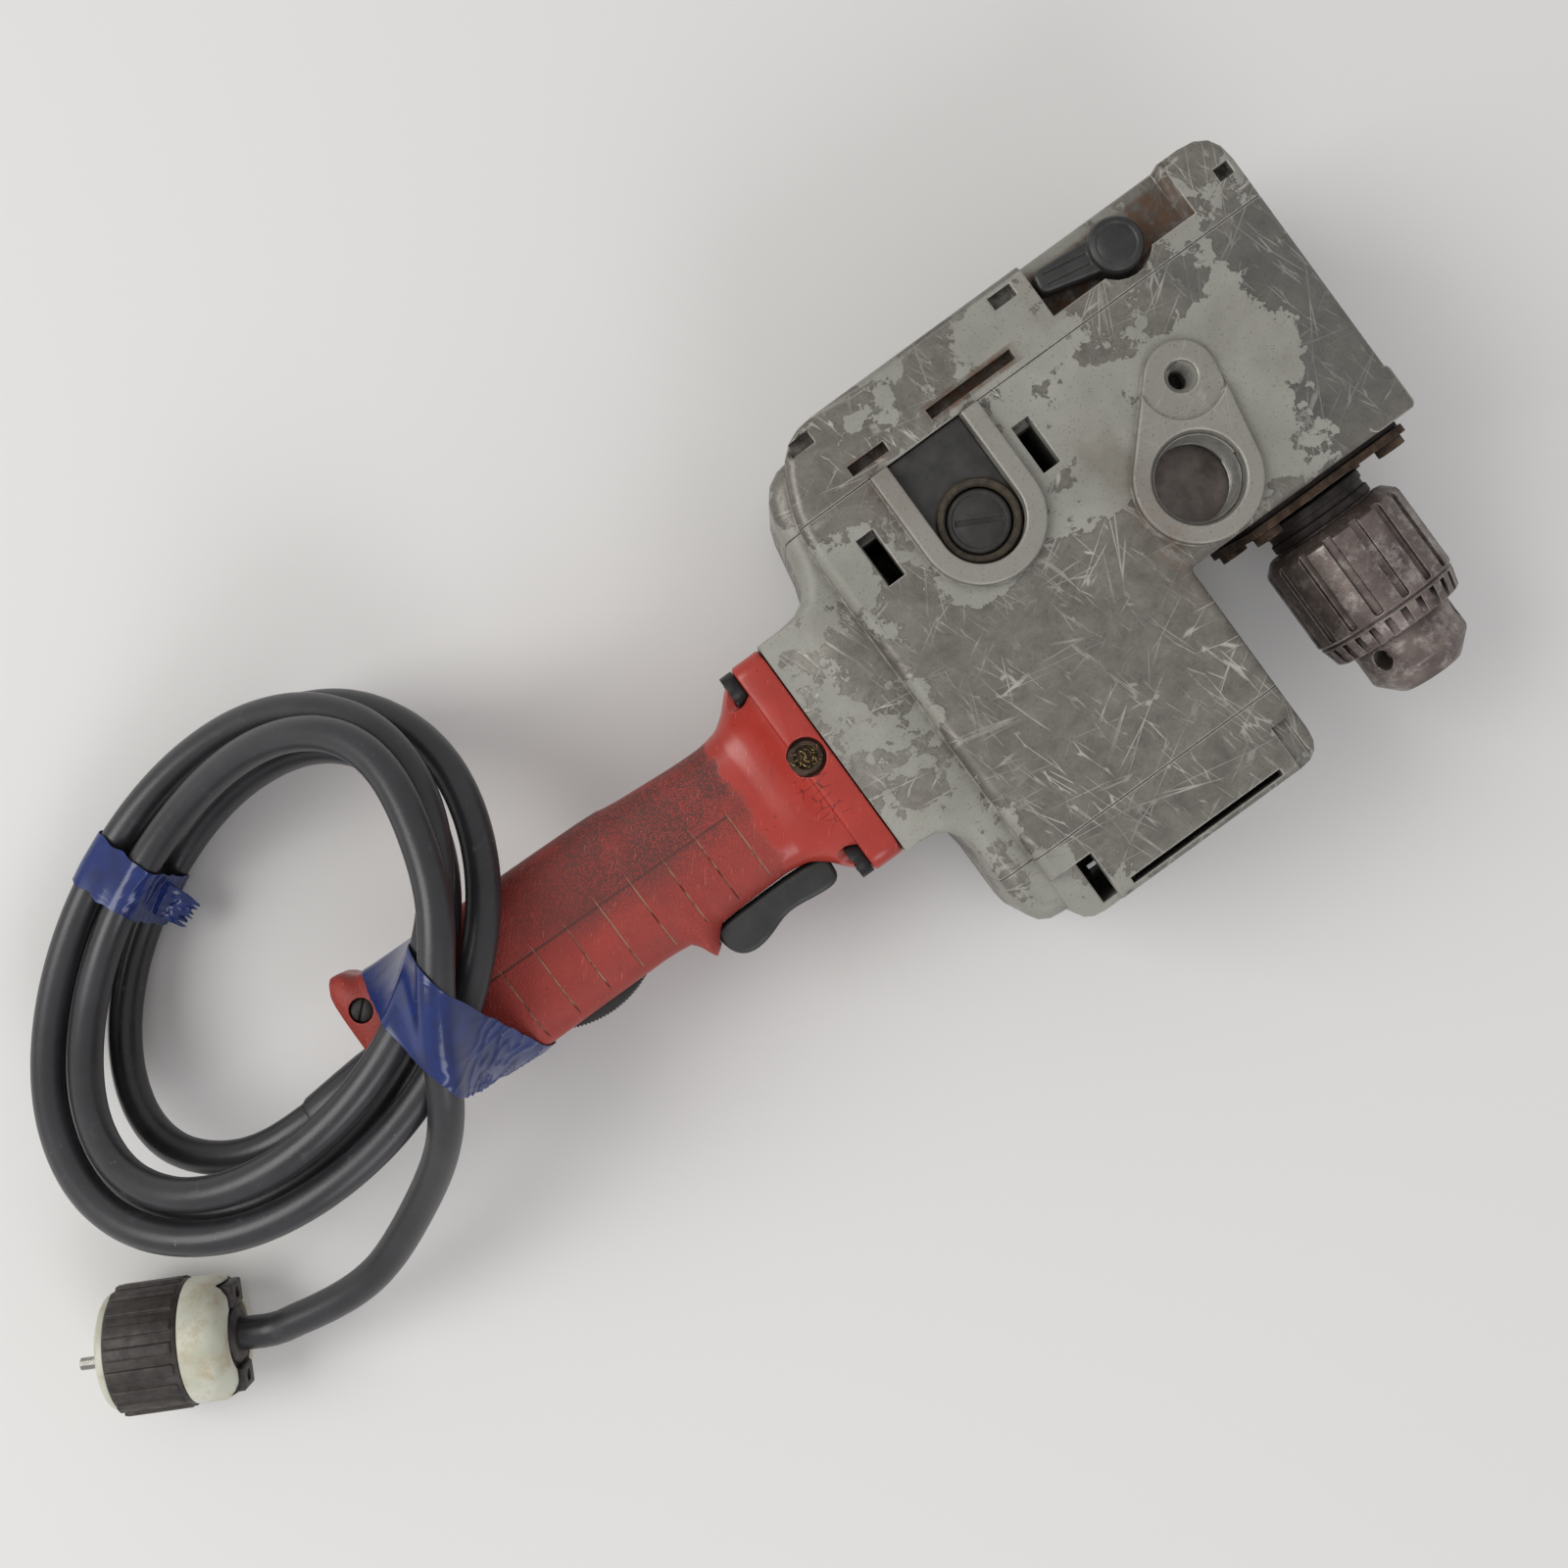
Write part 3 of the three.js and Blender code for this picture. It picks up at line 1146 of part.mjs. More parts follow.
const coilX = -handleLength - 17;
const coilY = 65.5;
const coilHalfX = 94.2;
const coilHalfY = 67.3;
const coilTilt = 22;
const coilSpread = 14.5;
const coilStart = 221;
const coilTurns = 3.71;
const coilSteps = 24;
const coilSides = 6;
const coilHighAngle = -79;
const coilLayer = 16.5;
const tapeWall = 0.8;
const coilLow = floorLevel + cordRadius + tapeWall + 4 * clearance;
const coilHigh = gripHalfHeight + cordRadius + smallStep;
const coilRiseShare = 1.6;
const lowerLayerShift = -5;
const firstDrop = 3.4;
const lastLift = 14.5;
const lastReach = 12;

// How far through a stretch of turns the coil is, from 0 to 1 with soft ends
const through = (turn, first, last) => THREE.MathUtils.smoothstep(turn, first, last);

// Height of a turn that lies on the floor on one side and over the handle on the other
const coilHeight = (turn) => {
  const facing = THREE.MathUtils.degToRad(coilStart - 360 * turn - coilHighAngle);
  const rise = 1 - ((1 - Math.cos(facing)) / 2) ** coilRiseShare;
  return coilLow + rise * (coilHigh - coilLow);
};

// The coil winds outward on the floor, steps up a layer and winds back inward.
// Its first strand comes down from the handle's end and its last is lifted over the others.
const coilPoint = (turn) => {
  const angle = THREE.MathUtils.degToRad(coilStart - 360 * turn);
  const middle = coilTurns / 2;
  const climb = through(turn, middle - 0.25, middle + 0.25);
  const lift = through(turn, coilTurns - 0.55, coilTurns - 0.15);
  const drop = 1 - through(turn, 0, 0.35);
  const outward = lastReach * through(turn, coilTurns - 0.32, coilTurns);
  const spread = coilSpread * (1 - 2 * Math.abs(turn / middle - 1)) + outward;
  const flat = new THREE.Vector2((coilHalfX + spread) * Math.cos(angle), (coilHalfY + spread) * Math.sin(angle))
    .rotateAround(new THREE.Vector2(), THREE.MathUtils.degToRad(coilTilt));
  return [
    coilX + flat.x,
    coilY + flat.y + lowerLayerShift * (1 - climb),
    coilHeight(turn) + climb * coilLayer + lift * lastLift - drop * (coilHeight(0) + firstDrop),
  ];
};

// The coil's centreline, with a straight stretch of one diameter at each end
const coilLine = () => {
  const count = Math.round(coilTurns * coilSteps);
  const points = Array.from({ length: count + 1 },
    (_, i) => new THREE.Vector3(...coilPoint(coilTurns * i / count)));
  const extend = (end, next) => end.clone().add(end.clone().sub(next).setLength(cordDiameter));
  return [extend(points[0], points[1]), ...points, extend(points.at(-1), points.at(-2))];
};

// Least gap between turns of the coil, on points of its centreline
const leastGap = (points) => {
  let least = Infinity;
  const apart = Math.round(coilSteps / 2);
  for (let i = 0; i < points.length - 1; i++) {
    for (let j = i + apart; j < points.length - 1; j++) {
      const a = new THREE.Line3(points[j], points[j + 1]);
      for (let k = 0; k < 4; k++) {
        const p = points[i].clone().lerp(points[i + 1], k / 4);
        const nearest = a.closestPointToPoint(p, true, new THREE.Vector3());
        least = Math.min(least, nearest.distanceTo(p));
      }
    }
  }
  return least - cordDiameter;
};

const cordStub = 6;
const tubeSides = 10;
const sweep = (points, steps) => {
  const curve = new THREE.CatmullRomCurve3(points, false, 'centripetal');
  const section = new THREE.Shape(Array.from({ length: tubeSides }, (_, k) => new THREE.Vector2(
    cordRadius * Math.cos(2 * Math.PI * k / tubeSides), cordRadius * Math.sin(2 * Math.PI * k / tubeSides))));
  return new THREE.ExtrudeGeometry(section, { steps, bevelEnabled: false, extrudePath: curve });
};

// The tail's way over the handle and down to the plug, X from the handle's end
const tailRoute = [
  [44, 16, 60],
  [29, -8, 55],
  [14, -27, 41],
  [-6, -40, 21],
  [-33, -52, 0],
  [-64, -60, -17],
];

const protectorLength = 34;
const plugX = -handleLength - 158;
const plugY = -26;
const plugZ = floorLevel + plugRadius + clearance;
const plugLength = 35;
const plugBodyLength = 13;
const plugTurn = 28;

const buildCord = () => {
  const gripEnd = -handleLength;
  const protector = turned([
    [0, -castingWall - clearance],
    [protectorRadius - castingWall / 2, -castingWall - clearance],
    [protectorRadius - castingWall / 2, clearance],
    [protectorRadius, clearance],
    [protectorRadius, 2 * castingWall],
    [cordRadius + smallStep, protectorLength],
    [0, protectorLength],
  ]).rotate([0, 0, 90]).translate(gripEnd, protectorY, 0);
  addSolid('cord_protector', protector, 'rubber');

  const line = coilLine();
  console.log(`cord coil: least gap between turns ${leastGap(line).toFixed(2)} mm`);
  addNode('cord_coil', tube(line.map((p) => p.toArray()), cordRadius, coilSides), 'rubber');

  const start = line[0];
  const startStep = line[0].clone().sub(line[1]).setLength(clearance);
  const leadEnd = start.clone().add(startStep);
  const leadStart = new THREE.Vector3(gripEnd - protectorLength - clearance, protectorY, 0);
  const leadIn = leadEnd.clone().addScaledVector(startStep, cordRadius / clearance);
  const leadOut = leadStart.clone().add(new THREE.Vector3(-cordRadius / 2, 0, 0));
  addNode('cord_lead', sweep([leadStart, leadOut, leadIn, leadEnd], 5), 'rubber');

  const end = line.at(-1);
  const endStep = line.at(-1).clone().sub(line.at(-2)).setLength(clearance);
  const tailStart = end.clone().add(endStep);
  const tailOut = tailStart.clone().addScaledVector(endStep, cordDiameter / clearance);
  const plugBack = new THREE.Vector3(plugLength + plugBodyLength + clearance, 0, 0)
    .applyAxisAngle(new THREE.Vector3(0, 0, 1),
      THREE.MathUtils.degToRad(-plugTurn)).add(new THREE.Vector3(plugX, plugY, plugZ));
  const plugRun = new THREE.Vector3(cordDiameter, 0, 0)
    .applyAxisAngle(new THREE.Vector3(0, 0, 1), THREE.MathUtils.degToRad(-plugTurn)).add(plugBack);
  addNode('cord_tail', sweep([
    tailStart,
    tailOut,
    ...tailRoute.map(([x, y, z]) => new THREE.Vector3(gripEnd + x, y, z)),
    plugRun,
    plugBack,
  ], 24), 'rubber');
};

// Plug: a ribbed shell, a pale body with the cord clamp, two blades and an earth pin
const bladeLength = 8;
const bladeWidth = 6.5;
const bladeThickness = 1.6;
const bladeSpread = 6.5;
const earthRadius = 2.4;
const plugRibs = 12;
const ribDepth = 1.2;
const ribLandShare = 0.5;
const plugEdge = 2;
const buildPlug = () => {
  const place = (solid) => solid.rotate([0, 0, -90]).rotate([0, 0, -plugTurn]).translate(plugX, plugY, plugZ);
  const shell = notched(plugRadius, ribDepth, plugRibs, ribLandShare, 0, plugLength).intersect(turned([
    [0, 0],
    [plugRadius - plugEdge, 0],
    [plugRadius, plugEdge],
    [plugRadius, plugLength - plugEdge],
    [plugRadius - plugEdge, plugLength],
    [0, plugLength],
  ], 0, medium));
  addSolid('plug_shell', place(shell), 'blackPlastic');
  const body = turned([
    [0, plugLength + clearance],
    [plugRadius - smallStep, plugLength + clearance],
    [plugRadius - plugEdge - smallStep, plugLength + plugBodyLength - plugEdge - smallStep],
    [cordRadius + castingWall, plugLength + plugBodyLength],
    [0, plugLength + plugBodyLength],
  ], 0, medium);
  addSolid('plug_body', place(body), 'whitePlastic');
  [-1, 1].forEach((side) => addSolid(`plug_blade_${side < 0 ? 1 : 2}`,
    place(block(side * bladeSpread - bladeThickness / 2,
    side * bladeSpread + bladeThickness / 2, -bladeLength - clearance, -clearance, -bladeWidth / 2,
      bladeWidth / 2)), 'brass'));
  addSolid('plug_earth_pin', place(rod(earthRadius, -bladeLength - overrun - clearance, -clearance, 0, coarse)
    .translate(0, 0, 2 * bladeSpread)), 'brass');
};

const bandLength = 22;
const bandTurn = 0.37;
const bandSlack = 3.2;
const wrapX = -handleLength + 24;
const wrapY = 8;
const wrapLength = 26;
const wrapTilt = 15;
const wrapSlack = 0.7;
const wrapPeakLeft = -35;
const wrapPeakRight = 16;
const buildHandleTape = () => {
  const low = -gripHalfHeight - wrapSlack;
  const high = coilHigh + coilLayer + lastLift + cordRadius + wrapSlack;
  const right = gripTop + castingWall;
  const left = -gripBottom - cordDiameter;
  const corner = gripHalfHeight / 4;
  const sleeve = (grow, length) => slab(outline([
    [left - grow, low - grow, corner],
    [right + grow, low - grow, corner],
    [right + grow, gripHalfHeight + grow, corner],
    [wrapPeakRight + grow, high + grow, corner],
    [wrapPeakLeft - grow, high + grow, corner],
    [left - grow, gripHalfHeight + grow, corner],
  ]), -length / 2, length / 2).rotate(lyingAlongX);
  addSolid('handle_tape', sleeve(tapeWall, wrapLength).subtract(sleeve(0, wrapLength + overrun))
    .rotate([0, 0, wrapTilt]).translate(wrapX, wrapY, 0), 'tape');
};

// Band round the four strands on the coil's far side
const buildTape = () => {
  const strands = [0, 1, 2, 3].map((k) => new THREE.Vector3(...coilPoint(bandTurn + k)));
  const ahead = new THREE.Vector3(...coilPoint(bandTurn + 1 / coilSteps)).sub(strands[0]);
  const heading = Math.atan2(ahead.y, ahead.x);
  const turnBack = (point) => point.clone().applyAxisAngle(new THREE.Vector3(0, 0, 1), -heading);
  const local = strands.map(turnBack);
  const reachOf = (values) => [Math.min(...values) - cordRadius, Math.max(...values) + cordRadius];
  const [right, left] = reachOf(local.map((point) => point.y));
  const [low, high] = reachOf(local.map((point) => point.z));
  const corner = cordRadius / 2;
  const sleeve = (grow, length) => slab(outline([
    [right - grow, low - grow + bandSlack - 3 * clearance, corner],
    [left + grow, low - grow + bandSlack - 3 * clearance, corner],
    [left + grow, high + grow, corner],
    [right - grow, high + grow, corner],
  ]), -length / 2, length / 2).rotate(lyingAlongX);
  const band = sleeve(bandSlack + tapeWall, bandLength).subtract(sleeve(bandSlack, bandLength + overrun));
  addSolid('coil_tape', band.translate(local[0].x, 0, 0)
    .rotate([0, 0, THREE.MathUtils.radToDeg(heading)]), 'tape');
};

buildCastings();
buildBearingPlate();
buildMotor();
buildBrushes();
buildClusters();
buildSpindle();
buildFork();
buildKnob();
buildChuck();
buildHandle();
buildSwitch();
buildCord();
buildPlug();
buildTape();
buildHandleTape();

// Stand the drill on its lower bosses, its middle over the origin
group.position.set((handleLength - gearCaseRight) / 2, (noseEnd - backFace) / 2, bossTop);

export default group;
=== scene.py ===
import math
import bmesh
import bpy
from mathutils import Matrix, Vector, noise


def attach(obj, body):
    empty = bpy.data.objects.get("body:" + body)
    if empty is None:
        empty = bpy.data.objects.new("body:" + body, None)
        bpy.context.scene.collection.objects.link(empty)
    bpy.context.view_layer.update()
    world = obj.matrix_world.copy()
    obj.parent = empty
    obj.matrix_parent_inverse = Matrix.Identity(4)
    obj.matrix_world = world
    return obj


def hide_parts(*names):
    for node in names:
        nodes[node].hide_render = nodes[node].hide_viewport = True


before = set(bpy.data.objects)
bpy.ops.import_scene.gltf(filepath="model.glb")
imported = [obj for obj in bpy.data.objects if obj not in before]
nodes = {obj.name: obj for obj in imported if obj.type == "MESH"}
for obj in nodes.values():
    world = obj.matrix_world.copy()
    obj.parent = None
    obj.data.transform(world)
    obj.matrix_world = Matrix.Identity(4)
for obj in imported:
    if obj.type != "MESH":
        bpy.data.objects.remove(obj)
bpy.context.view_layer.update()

mm = 0.001
middle = Vector((-16.0, 5.5, 56.0))  # the handle joint's place in the frame, in mm

# All the shapes below are in mm from the handle joint, X along the drill, Z up from its mid-plane


def spot(x, y, z=0.0):
    return (Vector((x, y, z)) + middle) * mm


def linear(hexColour):
    parts = [int(hexColour[i:i + 2], 16) / 255 for i in (1, 3, 5)]
    return [p / 12.92 if p <= 0.04045 else ((p + 0.055) / 1.055) ** 2.4 for p in parts] + [1.0]


# Short kinds: a sum takes its values one after another, "mix" is for colours, "blend" for numbers
mathKinds = ("ADD", "SUBTRACT", "MULTIPLY", "DIVIDE", "MAXIMUM", "ABSOLUTE")
mixKinds = {"mix": "RGBA", "blend": "FLOAT"}


# Adds a node: values go to the inputs in order, named ones through a dictionary
def add(tree, kind, *values, named=None, **settings):
    if kind in mathKinds:
        if len(values) > 2:
            values = (add(tree, kind, *values[:-1]), values[-1])
        settings["operation"] = kind
        kind = "ShaderNodeMath"
    if kind in mixKinds:
        settings["data_type"] = mixKinds[kind]
        kind = "ShaderNodeMix"
    node = tree.nodes.new(kind)
    for key, value in settings.items():
        setattr(node, key, value)
    inputs = [socket for socket in node.inputs if socket.enabled]
    pairs = list(zip(inputs, values))
    pairs += [(node.inputs[key], value) for key, value in (named or {}).items()]
    for socket, value in pairs:
        if value is None:
            continue
        if isinstance(value, bpy.types.Node):
            value = next(out for out in value.outputs if out.enabled)
        if isinstance(value, bpy.types.NodeSocket):
            tree.links.new(value, socket)
        elif isinstance(value, str) and value.startswith("#"):
            socket.default_value = linear(value)
        else:
            socket.default_value = value
    return node


# Starts a material; the place it reads is in mm from the handle joint
def startMaterial(name):
    material = bpy.data.materials.new(name)
    material.use_nodes = True
    tree = material.node_tree
    tree.nodes.clear()
    coordinates = add(tree, "ShaderNodeTexCoord")
    place = add(tree, "ShaderNodeMapping", coordinates.outputs["Object"], tuple(-middle),
                (0, 0, 0), (1000, 1000, 1000))
    return material, tree, place


def finishMaterial(tree, **sockets):
    named = {key.replace("_", " "): value for key, value in sockets.items()}
    shader = add(tree, "ShaderNodeBsdfPrincipled", named=named)
    add(tree, "ShaderNodeOutputMaterial", shader)


# Stretches a noise along one way, for scratches, streaks and flow lines; sizes in mm
def streaks(tree, place, along, across, turn, low, high, detail=2.0):
    turned = add(tree, "ShaderNodeMapping", place, (0, 0, 0), (0, 0, math.radians(turn)),
                 (along, across, along), vector_type="TEXTURE")
    grain = add(tree, "ShaderNodeTexNoise", turned, None, detail, 0.5, named={"Scale": 1.0})
    return add(tree, "ShaderNodeMapRange", grain.outputs["Fac"], low, high, 0.0, 1.0)


# A noise without a direction, for tones, dust and grain; size in mm
def speckle(tree, place, size, low, high, detail=4.0, rough=0.6, distortion=0.0):
    grain = add(tree, "ShaderNodeTexNoise", named={
        "Vector": place.outputs[0], "Scale": 1 / size, "Detail": detail, "Roughness": rough,
        "Distortion": distortion})
    return add(tree, "ShaderNodeMapRange", grain.outputs["Fac"], low, high, 0.0, 1.0)


# Fine scratches: the edges of long thin cells, broken up by a patchy noise; sizes in mm
def hairs(tree, place, along, across, turn, wide):
    turned = add(tree, "ShaderNodeMapping", place, (turn, 2 * turn, 0), (0, 0, math.radians(turn)),
                 (along, across, along), vector_type="TEXTURE")
    cells = add(tree, "ShaderNodeTexVoronoi", feature="DISTANCE_TO_EDGE", named={
        "Vector": turned.outputs[0], "Scale": 1.0, "Randomness": 1.0})
    line = add(tree, "ShaderNodeMapRange", cells.outputs["Distance"], wide * 0.4, wide, 1.0, 0.0)
    patchy = add(tree, "ShaderNodeTexNoise", named={
        "Vector": turned.outputs[0], "Scale": 0.7, "Detail": 3.0})
    patchy = add(tree, "ShaderNodeMapRange", patchy.outputs["Fac"], 0.56, 0.62, 0.0, 1.0)
    return add(tree, "MULTIPLY", line, patchy)


# 1 inside a soft-edged box, 0 outside it
def areaMask(tree, place, centre, half, soft):
    offset = add(tree, "ShaderNodeVectorMath", place, centre, operation="SUBTRACT")
    reach = add(tree, "ShaderNodeVectorMath", offset, half, operation="DIVIDE")
    reach = add(tree, "ShaderNodeVectorMath", reach, operation="ABSOLUTE")
    parts = add(tree, "ShaderNodeSeparateXYZ", reach)
    widest = add(tree, "MAXIMUM", *parts.outputs)
    return add(tree, "ShaderNodeMapRange", widest, 1 - soft, 1 + soft, 1.0, 0.0,
               interpolation_type="SMOOTHSTEP")


# 1 in corners, where ambient shade falls, and 0 on open faces: the mask for dirt and painted shade;
# distance in mm
def corners(tree, distance, low, high):
    shade = add(tree, "ShaderNodeAmbientOcclusion", None, distance * mm, samples=8)
    return add(tree, "ShaderNodeMapRange", shade.outputs["AO"], low, high, 1.0, 0.0)


# 1 on worn outer edges, and the rounded normal that they are read from
def edges(tree, radius, low, high):
    rounded = add(tree, "ShaderNodeBevel", radius * mm, samples=6)
    surface = add(tree, "ShaderNodeNewGeometry")
    same = add(tree, "ShaderNodeVectorMath", rounded, surface.outputs["Normal"],
               operation="DOT_PRODUCT")
    return add(tree, "ShaderNodeMapRange", same.outputs["Value"], high, low, 0.0, 1.0), rounded


# Grey enamel over cast aluminium: the enamel has chipped off in crisp islands down to bare metal that
# handling has scratched, oil and dust lie in the corners with painted shade, and a painted shadow runs
# along the enamel's broken edge.
paint = {
    "enamel": "#94938a", "enamelDark": "#84837a", "bare": "#605d57", "bareLight": "#8d8981",
    "edge": "#c2bfb7", "rim": "#97948c", "shaded": "#575754", "shadow": "#3b3a36",
    "grimeAndShade": "#2b2219", "film": "#5a5347", "rust": "#5f3d22", "rustDark": "#2c1f16",
    "pit": "#3d3a34", "chipSize": 40, "edgeSize": 6, "threshold": 0.49,
}
# Scratches on the bare metal: length, spacing, turn in degrees and width
scratchRows = [(60, 5.4, 63, 0.03), (46, 4.6, -12, 0.035), (30, 3.6, 31, 0.045), (22, 3.0, -71, 0.05),
               (16, 2.6, 104, 0.06)]
# Where the enamel has held (above 0) or gone (below 0): centre, half sizes, softness, amount
paintAreas = [
    ((92, -42, 40), (50, 50, 30), 0.16, -0.24),   # the barrel's face, rubbed bare
    ((88, 30, 52), (36, 34, 20), 0.35, 0.06),     # round the brush boss
    ((150, 50, 52), (36, 26, 20), 0.5, 0.06),      # between the bosses
    ((22, 0, 30), (14, 52, 40), 0.4, -0.02),       # the shoulder over the handle
    ((224, 25, 30), (14, 46, 40), 0.4, -0.10),    # the gear case's right end
    ((70, 84, 50), (44, 12, 12), 0.4, -0.07),     # the cover's left half
    ((86, -88, 50), (34, 14, 16), 0.2, -0.12),
    ((48, -88, 40), (16, 16, 18), 0.3, 0.20),
    ((128, -90, 40), (12, 14, 18), 0.3, 0.10),
]
# Where rust and old oil lie: centre, half sizes, softness, amount
rustAreas = [
    ((180, 84, 44), (33, 10, 7.5), 0.12, 0.95),   # the knob's pocket
    ((113, 74, 48), (19, 3.4, 6.5), 0.2, 0.9),    # the long window
    ((69, 74, 48), (8, 3, 6), 0.2, 0.6),
    ((199, -24, 0), (40, 3.5, 40), 0.4, 0.7),     # the case round the bearing plate
    ((136, 0, 52), (6, 30, 6), 0.8, 0.42),        # beside the side handle's boss
    ((66, 60, 52), (8, 10, 6), 0.8, 0.35),
]


def makeEnamel():
    material, tree, place = startMaterial("chippedEnamel")
    # Where the enamel holds: large islands with crisp edges, and none on the rims
    chips = add(tree, "ShaderNodeTexNoise", named={
        "Vector": place.outputs[0], "Scale": 1 / paint["chipSize"], "Detail": 9.0,
        "Roughness": 0.64, "Distortion": 0.25})
    islands = add(tree, "ShaderNodeTexNoise", named={
        "Vector": place.outputs[0], "Scale": 1 / paint["edgeSize"], "Detail": 5.0, "Roughness": 0.6})
    field = add(tree, "ADD", chips.outputs["Fac"],
                add(tree, "MULTIPLY", islands.outputs["Fac"], 0.28), -0.14)
    for centre, half, soft, amount in paintAreas:
        area = areaMask(tree, place, centre, half, soft)
        field = add(tree, "ADD", field, add(tree, "MULTIPLY", area, amount))
    worn, rounded = edges(tree, 1.2, 0.86, 0.985)
    field = add(tree, "SUBTRACT", field, add(tree, "MULTIPLY", worn, 0.12))
    parts = add(tree, "ShaderNodeSeparateXYZ", place)
    depth = add(tree, "ABSOLUTE", parts.outputs[2])
    rim = add(tree, "ShaderNodeMapRange", depth, 53.6, 54.6, 0.0, 0.6)
    field = add(tree, "SUBTRACT", field, rim)
    share = add(tree, "ShaderNodeMapRange", field, paint["threshold"] - 0.006,
                paint["threshold"] + 0.006, 0.0, 1.0)
    tone = speckle(tree, place, 24, 0.35, 0.7)
    enamel = add(tree, "mix", tone, paint["enamelDark"], paint["enamel"])
    # Bare metal: dull patches, a cast grain and scratches that cross each other
    scratches = add(tree, "MAXIMUM", *[hairs(tree, place, *row) for row in scratchRows])
    dull = speckle(tree, place, 13, 0.3, 0.7, 9.0, 0.72, 0.4)
    grain = speckle(tree, place, 1.6, 0.3, 0.7, 4.0, 0.7)
    bare = add(tree, "mix", dull, paint["bare"], paint["bareLight"])
    bare = add(tree, "mix", add(tree, "MULTIPLY", grain, 0.3), bare, paint["bare"])
    bare = add(tree, "mix", add(tree, "MULTIPLY", scratches, speckle(tree, place, 34, 0.35, 0.6), 0.85),
               bare, paint["edge"])
    # Painted shade: the bare metal over the gear case's right end is darkened
    shaded = areaMask(tree, place, (216, 24, 52), (26, 46, 12), 0.4)
    bare = add(tree, "mix", add(tree, "MULTIPLY", shaded, 0.5), bare, paint["shaded"])
    bare = add(tree, "mix", add(tree, "MULTIPLY", rim, 1.5), bare, paint["rim"])
    bare = add(tree, "mix", add(tree, "MULTIPLY", worn, 0.8), bare, paint["edge"])
    colour = add(tree, "mix", share, bare, enamel)
    # The enamel's broken edge with a painted shadow beside it, dirt and painted shade in the corners, and
    # a thin film of oil
    # Painted shadow: a dark line on the bare metal just beside the enamel's edge
    lip = add(tree, "ShaderNodeMapRange", field, paint["threshold"] - 0.02,
              paint["threshold"] - 0.004, 0.0, 1.0)
    shadowLine = add(tree, "MULTIPLY", lip, add(tree, "SUBTRACT", 1.0, share), 0.35)
    colour = add(tree, "mix", shadowLine, colour, paint["shadow"])
    # Darker in the corners from ambient occlusion: dirt together with painted shade
    dirtAndShade = add(tree, "MULTIPLY", corners(tree, 7, 0.35, 0.8), speckle(tree, place, 5, 0.3, 0.62))
    colour = add(tree, "mix", add(tree, "MULTIPLY", dirtAndShade, 0.85), colour, paint["grimeAndShade"])
    film = add(tree, "MULTIPLY", speckle(tree, place, 30, 0.52, 0.75), 0.25)
    colour = add(tree, "mix", film, colour, paint["film"])
    # Rust
    rusts = [add(tree, "MULTIPLY", areaMask(tree, place, centre, half, soft), amount)
             for centre, half, soft, amount in rustAreas]
    rust = add(tree, "MAXIMUM", *rusts)
    flakes = speckle(tree, place, 5, 0.38, 0.62, 7.0, 0.7)
    rust = add(tree, "MULTIPLY", rust, add(tree, "blend", flakes, 0.45, 1.0))
    stain = add(tree, "mix", flakes, paint["rustDark"], paint["rust"])
    colour = add(tree, "mix", rust, colour, stain)
    pits = speckle(tree, place, 0.9, 0.62, 0.68, 2.0)
    colour = add(tree, "mix", add(tree, "MULTIPLY", pits, 0.4), colour, paint["pit"])
    # Relief: the enamel stands over the metal, and pits and scratches lie in it
    height = add(tree, "ADD", add(tree, "MULTIPLY", share, 0.6),
                 add(tree, "MULTIPLY", dull, 0.12), add(tree, "MULTIPLY", pits, -0.3),
                 add(tree, "MULTIPLY", grain, 0.3), add(tree, "MULTIPLY", scratches, -0.2))
    bump = add(tree, "ShaderNodeBump", named={
        "Strength": 0.5, "Distance": 0.12 * mm, "Height": height, "Normal": rounded})
    metal = add(tree, "MULTIPLY", add(tree, "SUBTRACT", 1.0, share),
                add(tree, "SUBTRACT", 1.0, add(tree, "MAXIMUM", dirtAndShade, rust)), 0.55)
    rough = add(tree, "blend", share, add(tree, "blend", dull, 0.52, 0.4), 0.48)
    rough = add(tree, "ADD", rough, add(tree, "MULTIPLY", add(tree, "MAXIMUM", dirtAndShade, rust), 0.3))
    finishMaterial(tree, Base_Color=colour, Metallic=metal, Roughness=rough, Normal=bump)
    return material


# A plain finish with two tones, worn edges, and dirt with painted shade in its corners
def makePlain(name, look):
    material, tree, place = startMaterial(name)
    tone = speckle(tree, place, look["grain"], 0.35, 0.68)
    colour = add(tree, "mix", tone, look["dark"], look["light"])
    worn, rounded = edges(tree, look.get("round", 0.5), 0.8, 0.98)
    rubbed = add(tree, "MULTIPLY", worn, speckle(tree, place, 3, 0.35, 0.55), look.get("wear", 0.5))
    colour = add(tree, "mix", rubbed, colour, look["edge"])
    scuffs = speckle(tree, place, 8, 0.5, 0.62, 9.0, 0.78)
    colour = add(tree, "mix", add(tree, "MULTIPLY", scuffs, look.get("scuff", 0.0)), colour, look["edge"])
    # Darker in the corners from ambient occlusion: dirt together with painted shade
    dirtAndShade = add(tree, "MULTIPLY", corners(tree, look.get("reach", 4), 0.3, 0.8),
               look.get("dirtAndShade", 0.6))
    colour = add(tree, "mix", dirtAndShade, colour, look.get("grimeAndShade", "#1c1713"))
    fine = speckle(tree, place, look.get("fine", 0.6), 0.3, 0.7, 3.0)
    bump = add(tree, "ShaderNodeBump", named={
        "Strength": look.get("bump", 0.3), "Distance": 0.1 * mm, "Height": fine, "Normal": rounded})
    rough = add(tree, "blend", tone, look["rough"] + 0.08, look["rough"] - 0.06)
    rough = add(tree, "ADD", rough, add(tree, "MULTIPLY", dirtAndShade, 0.2))
    finishMaterial(tree, Base_Color=colour, Metallic=look.get("metal", 0.0), Roughness=rough,
                   Normal=bump)
    return material


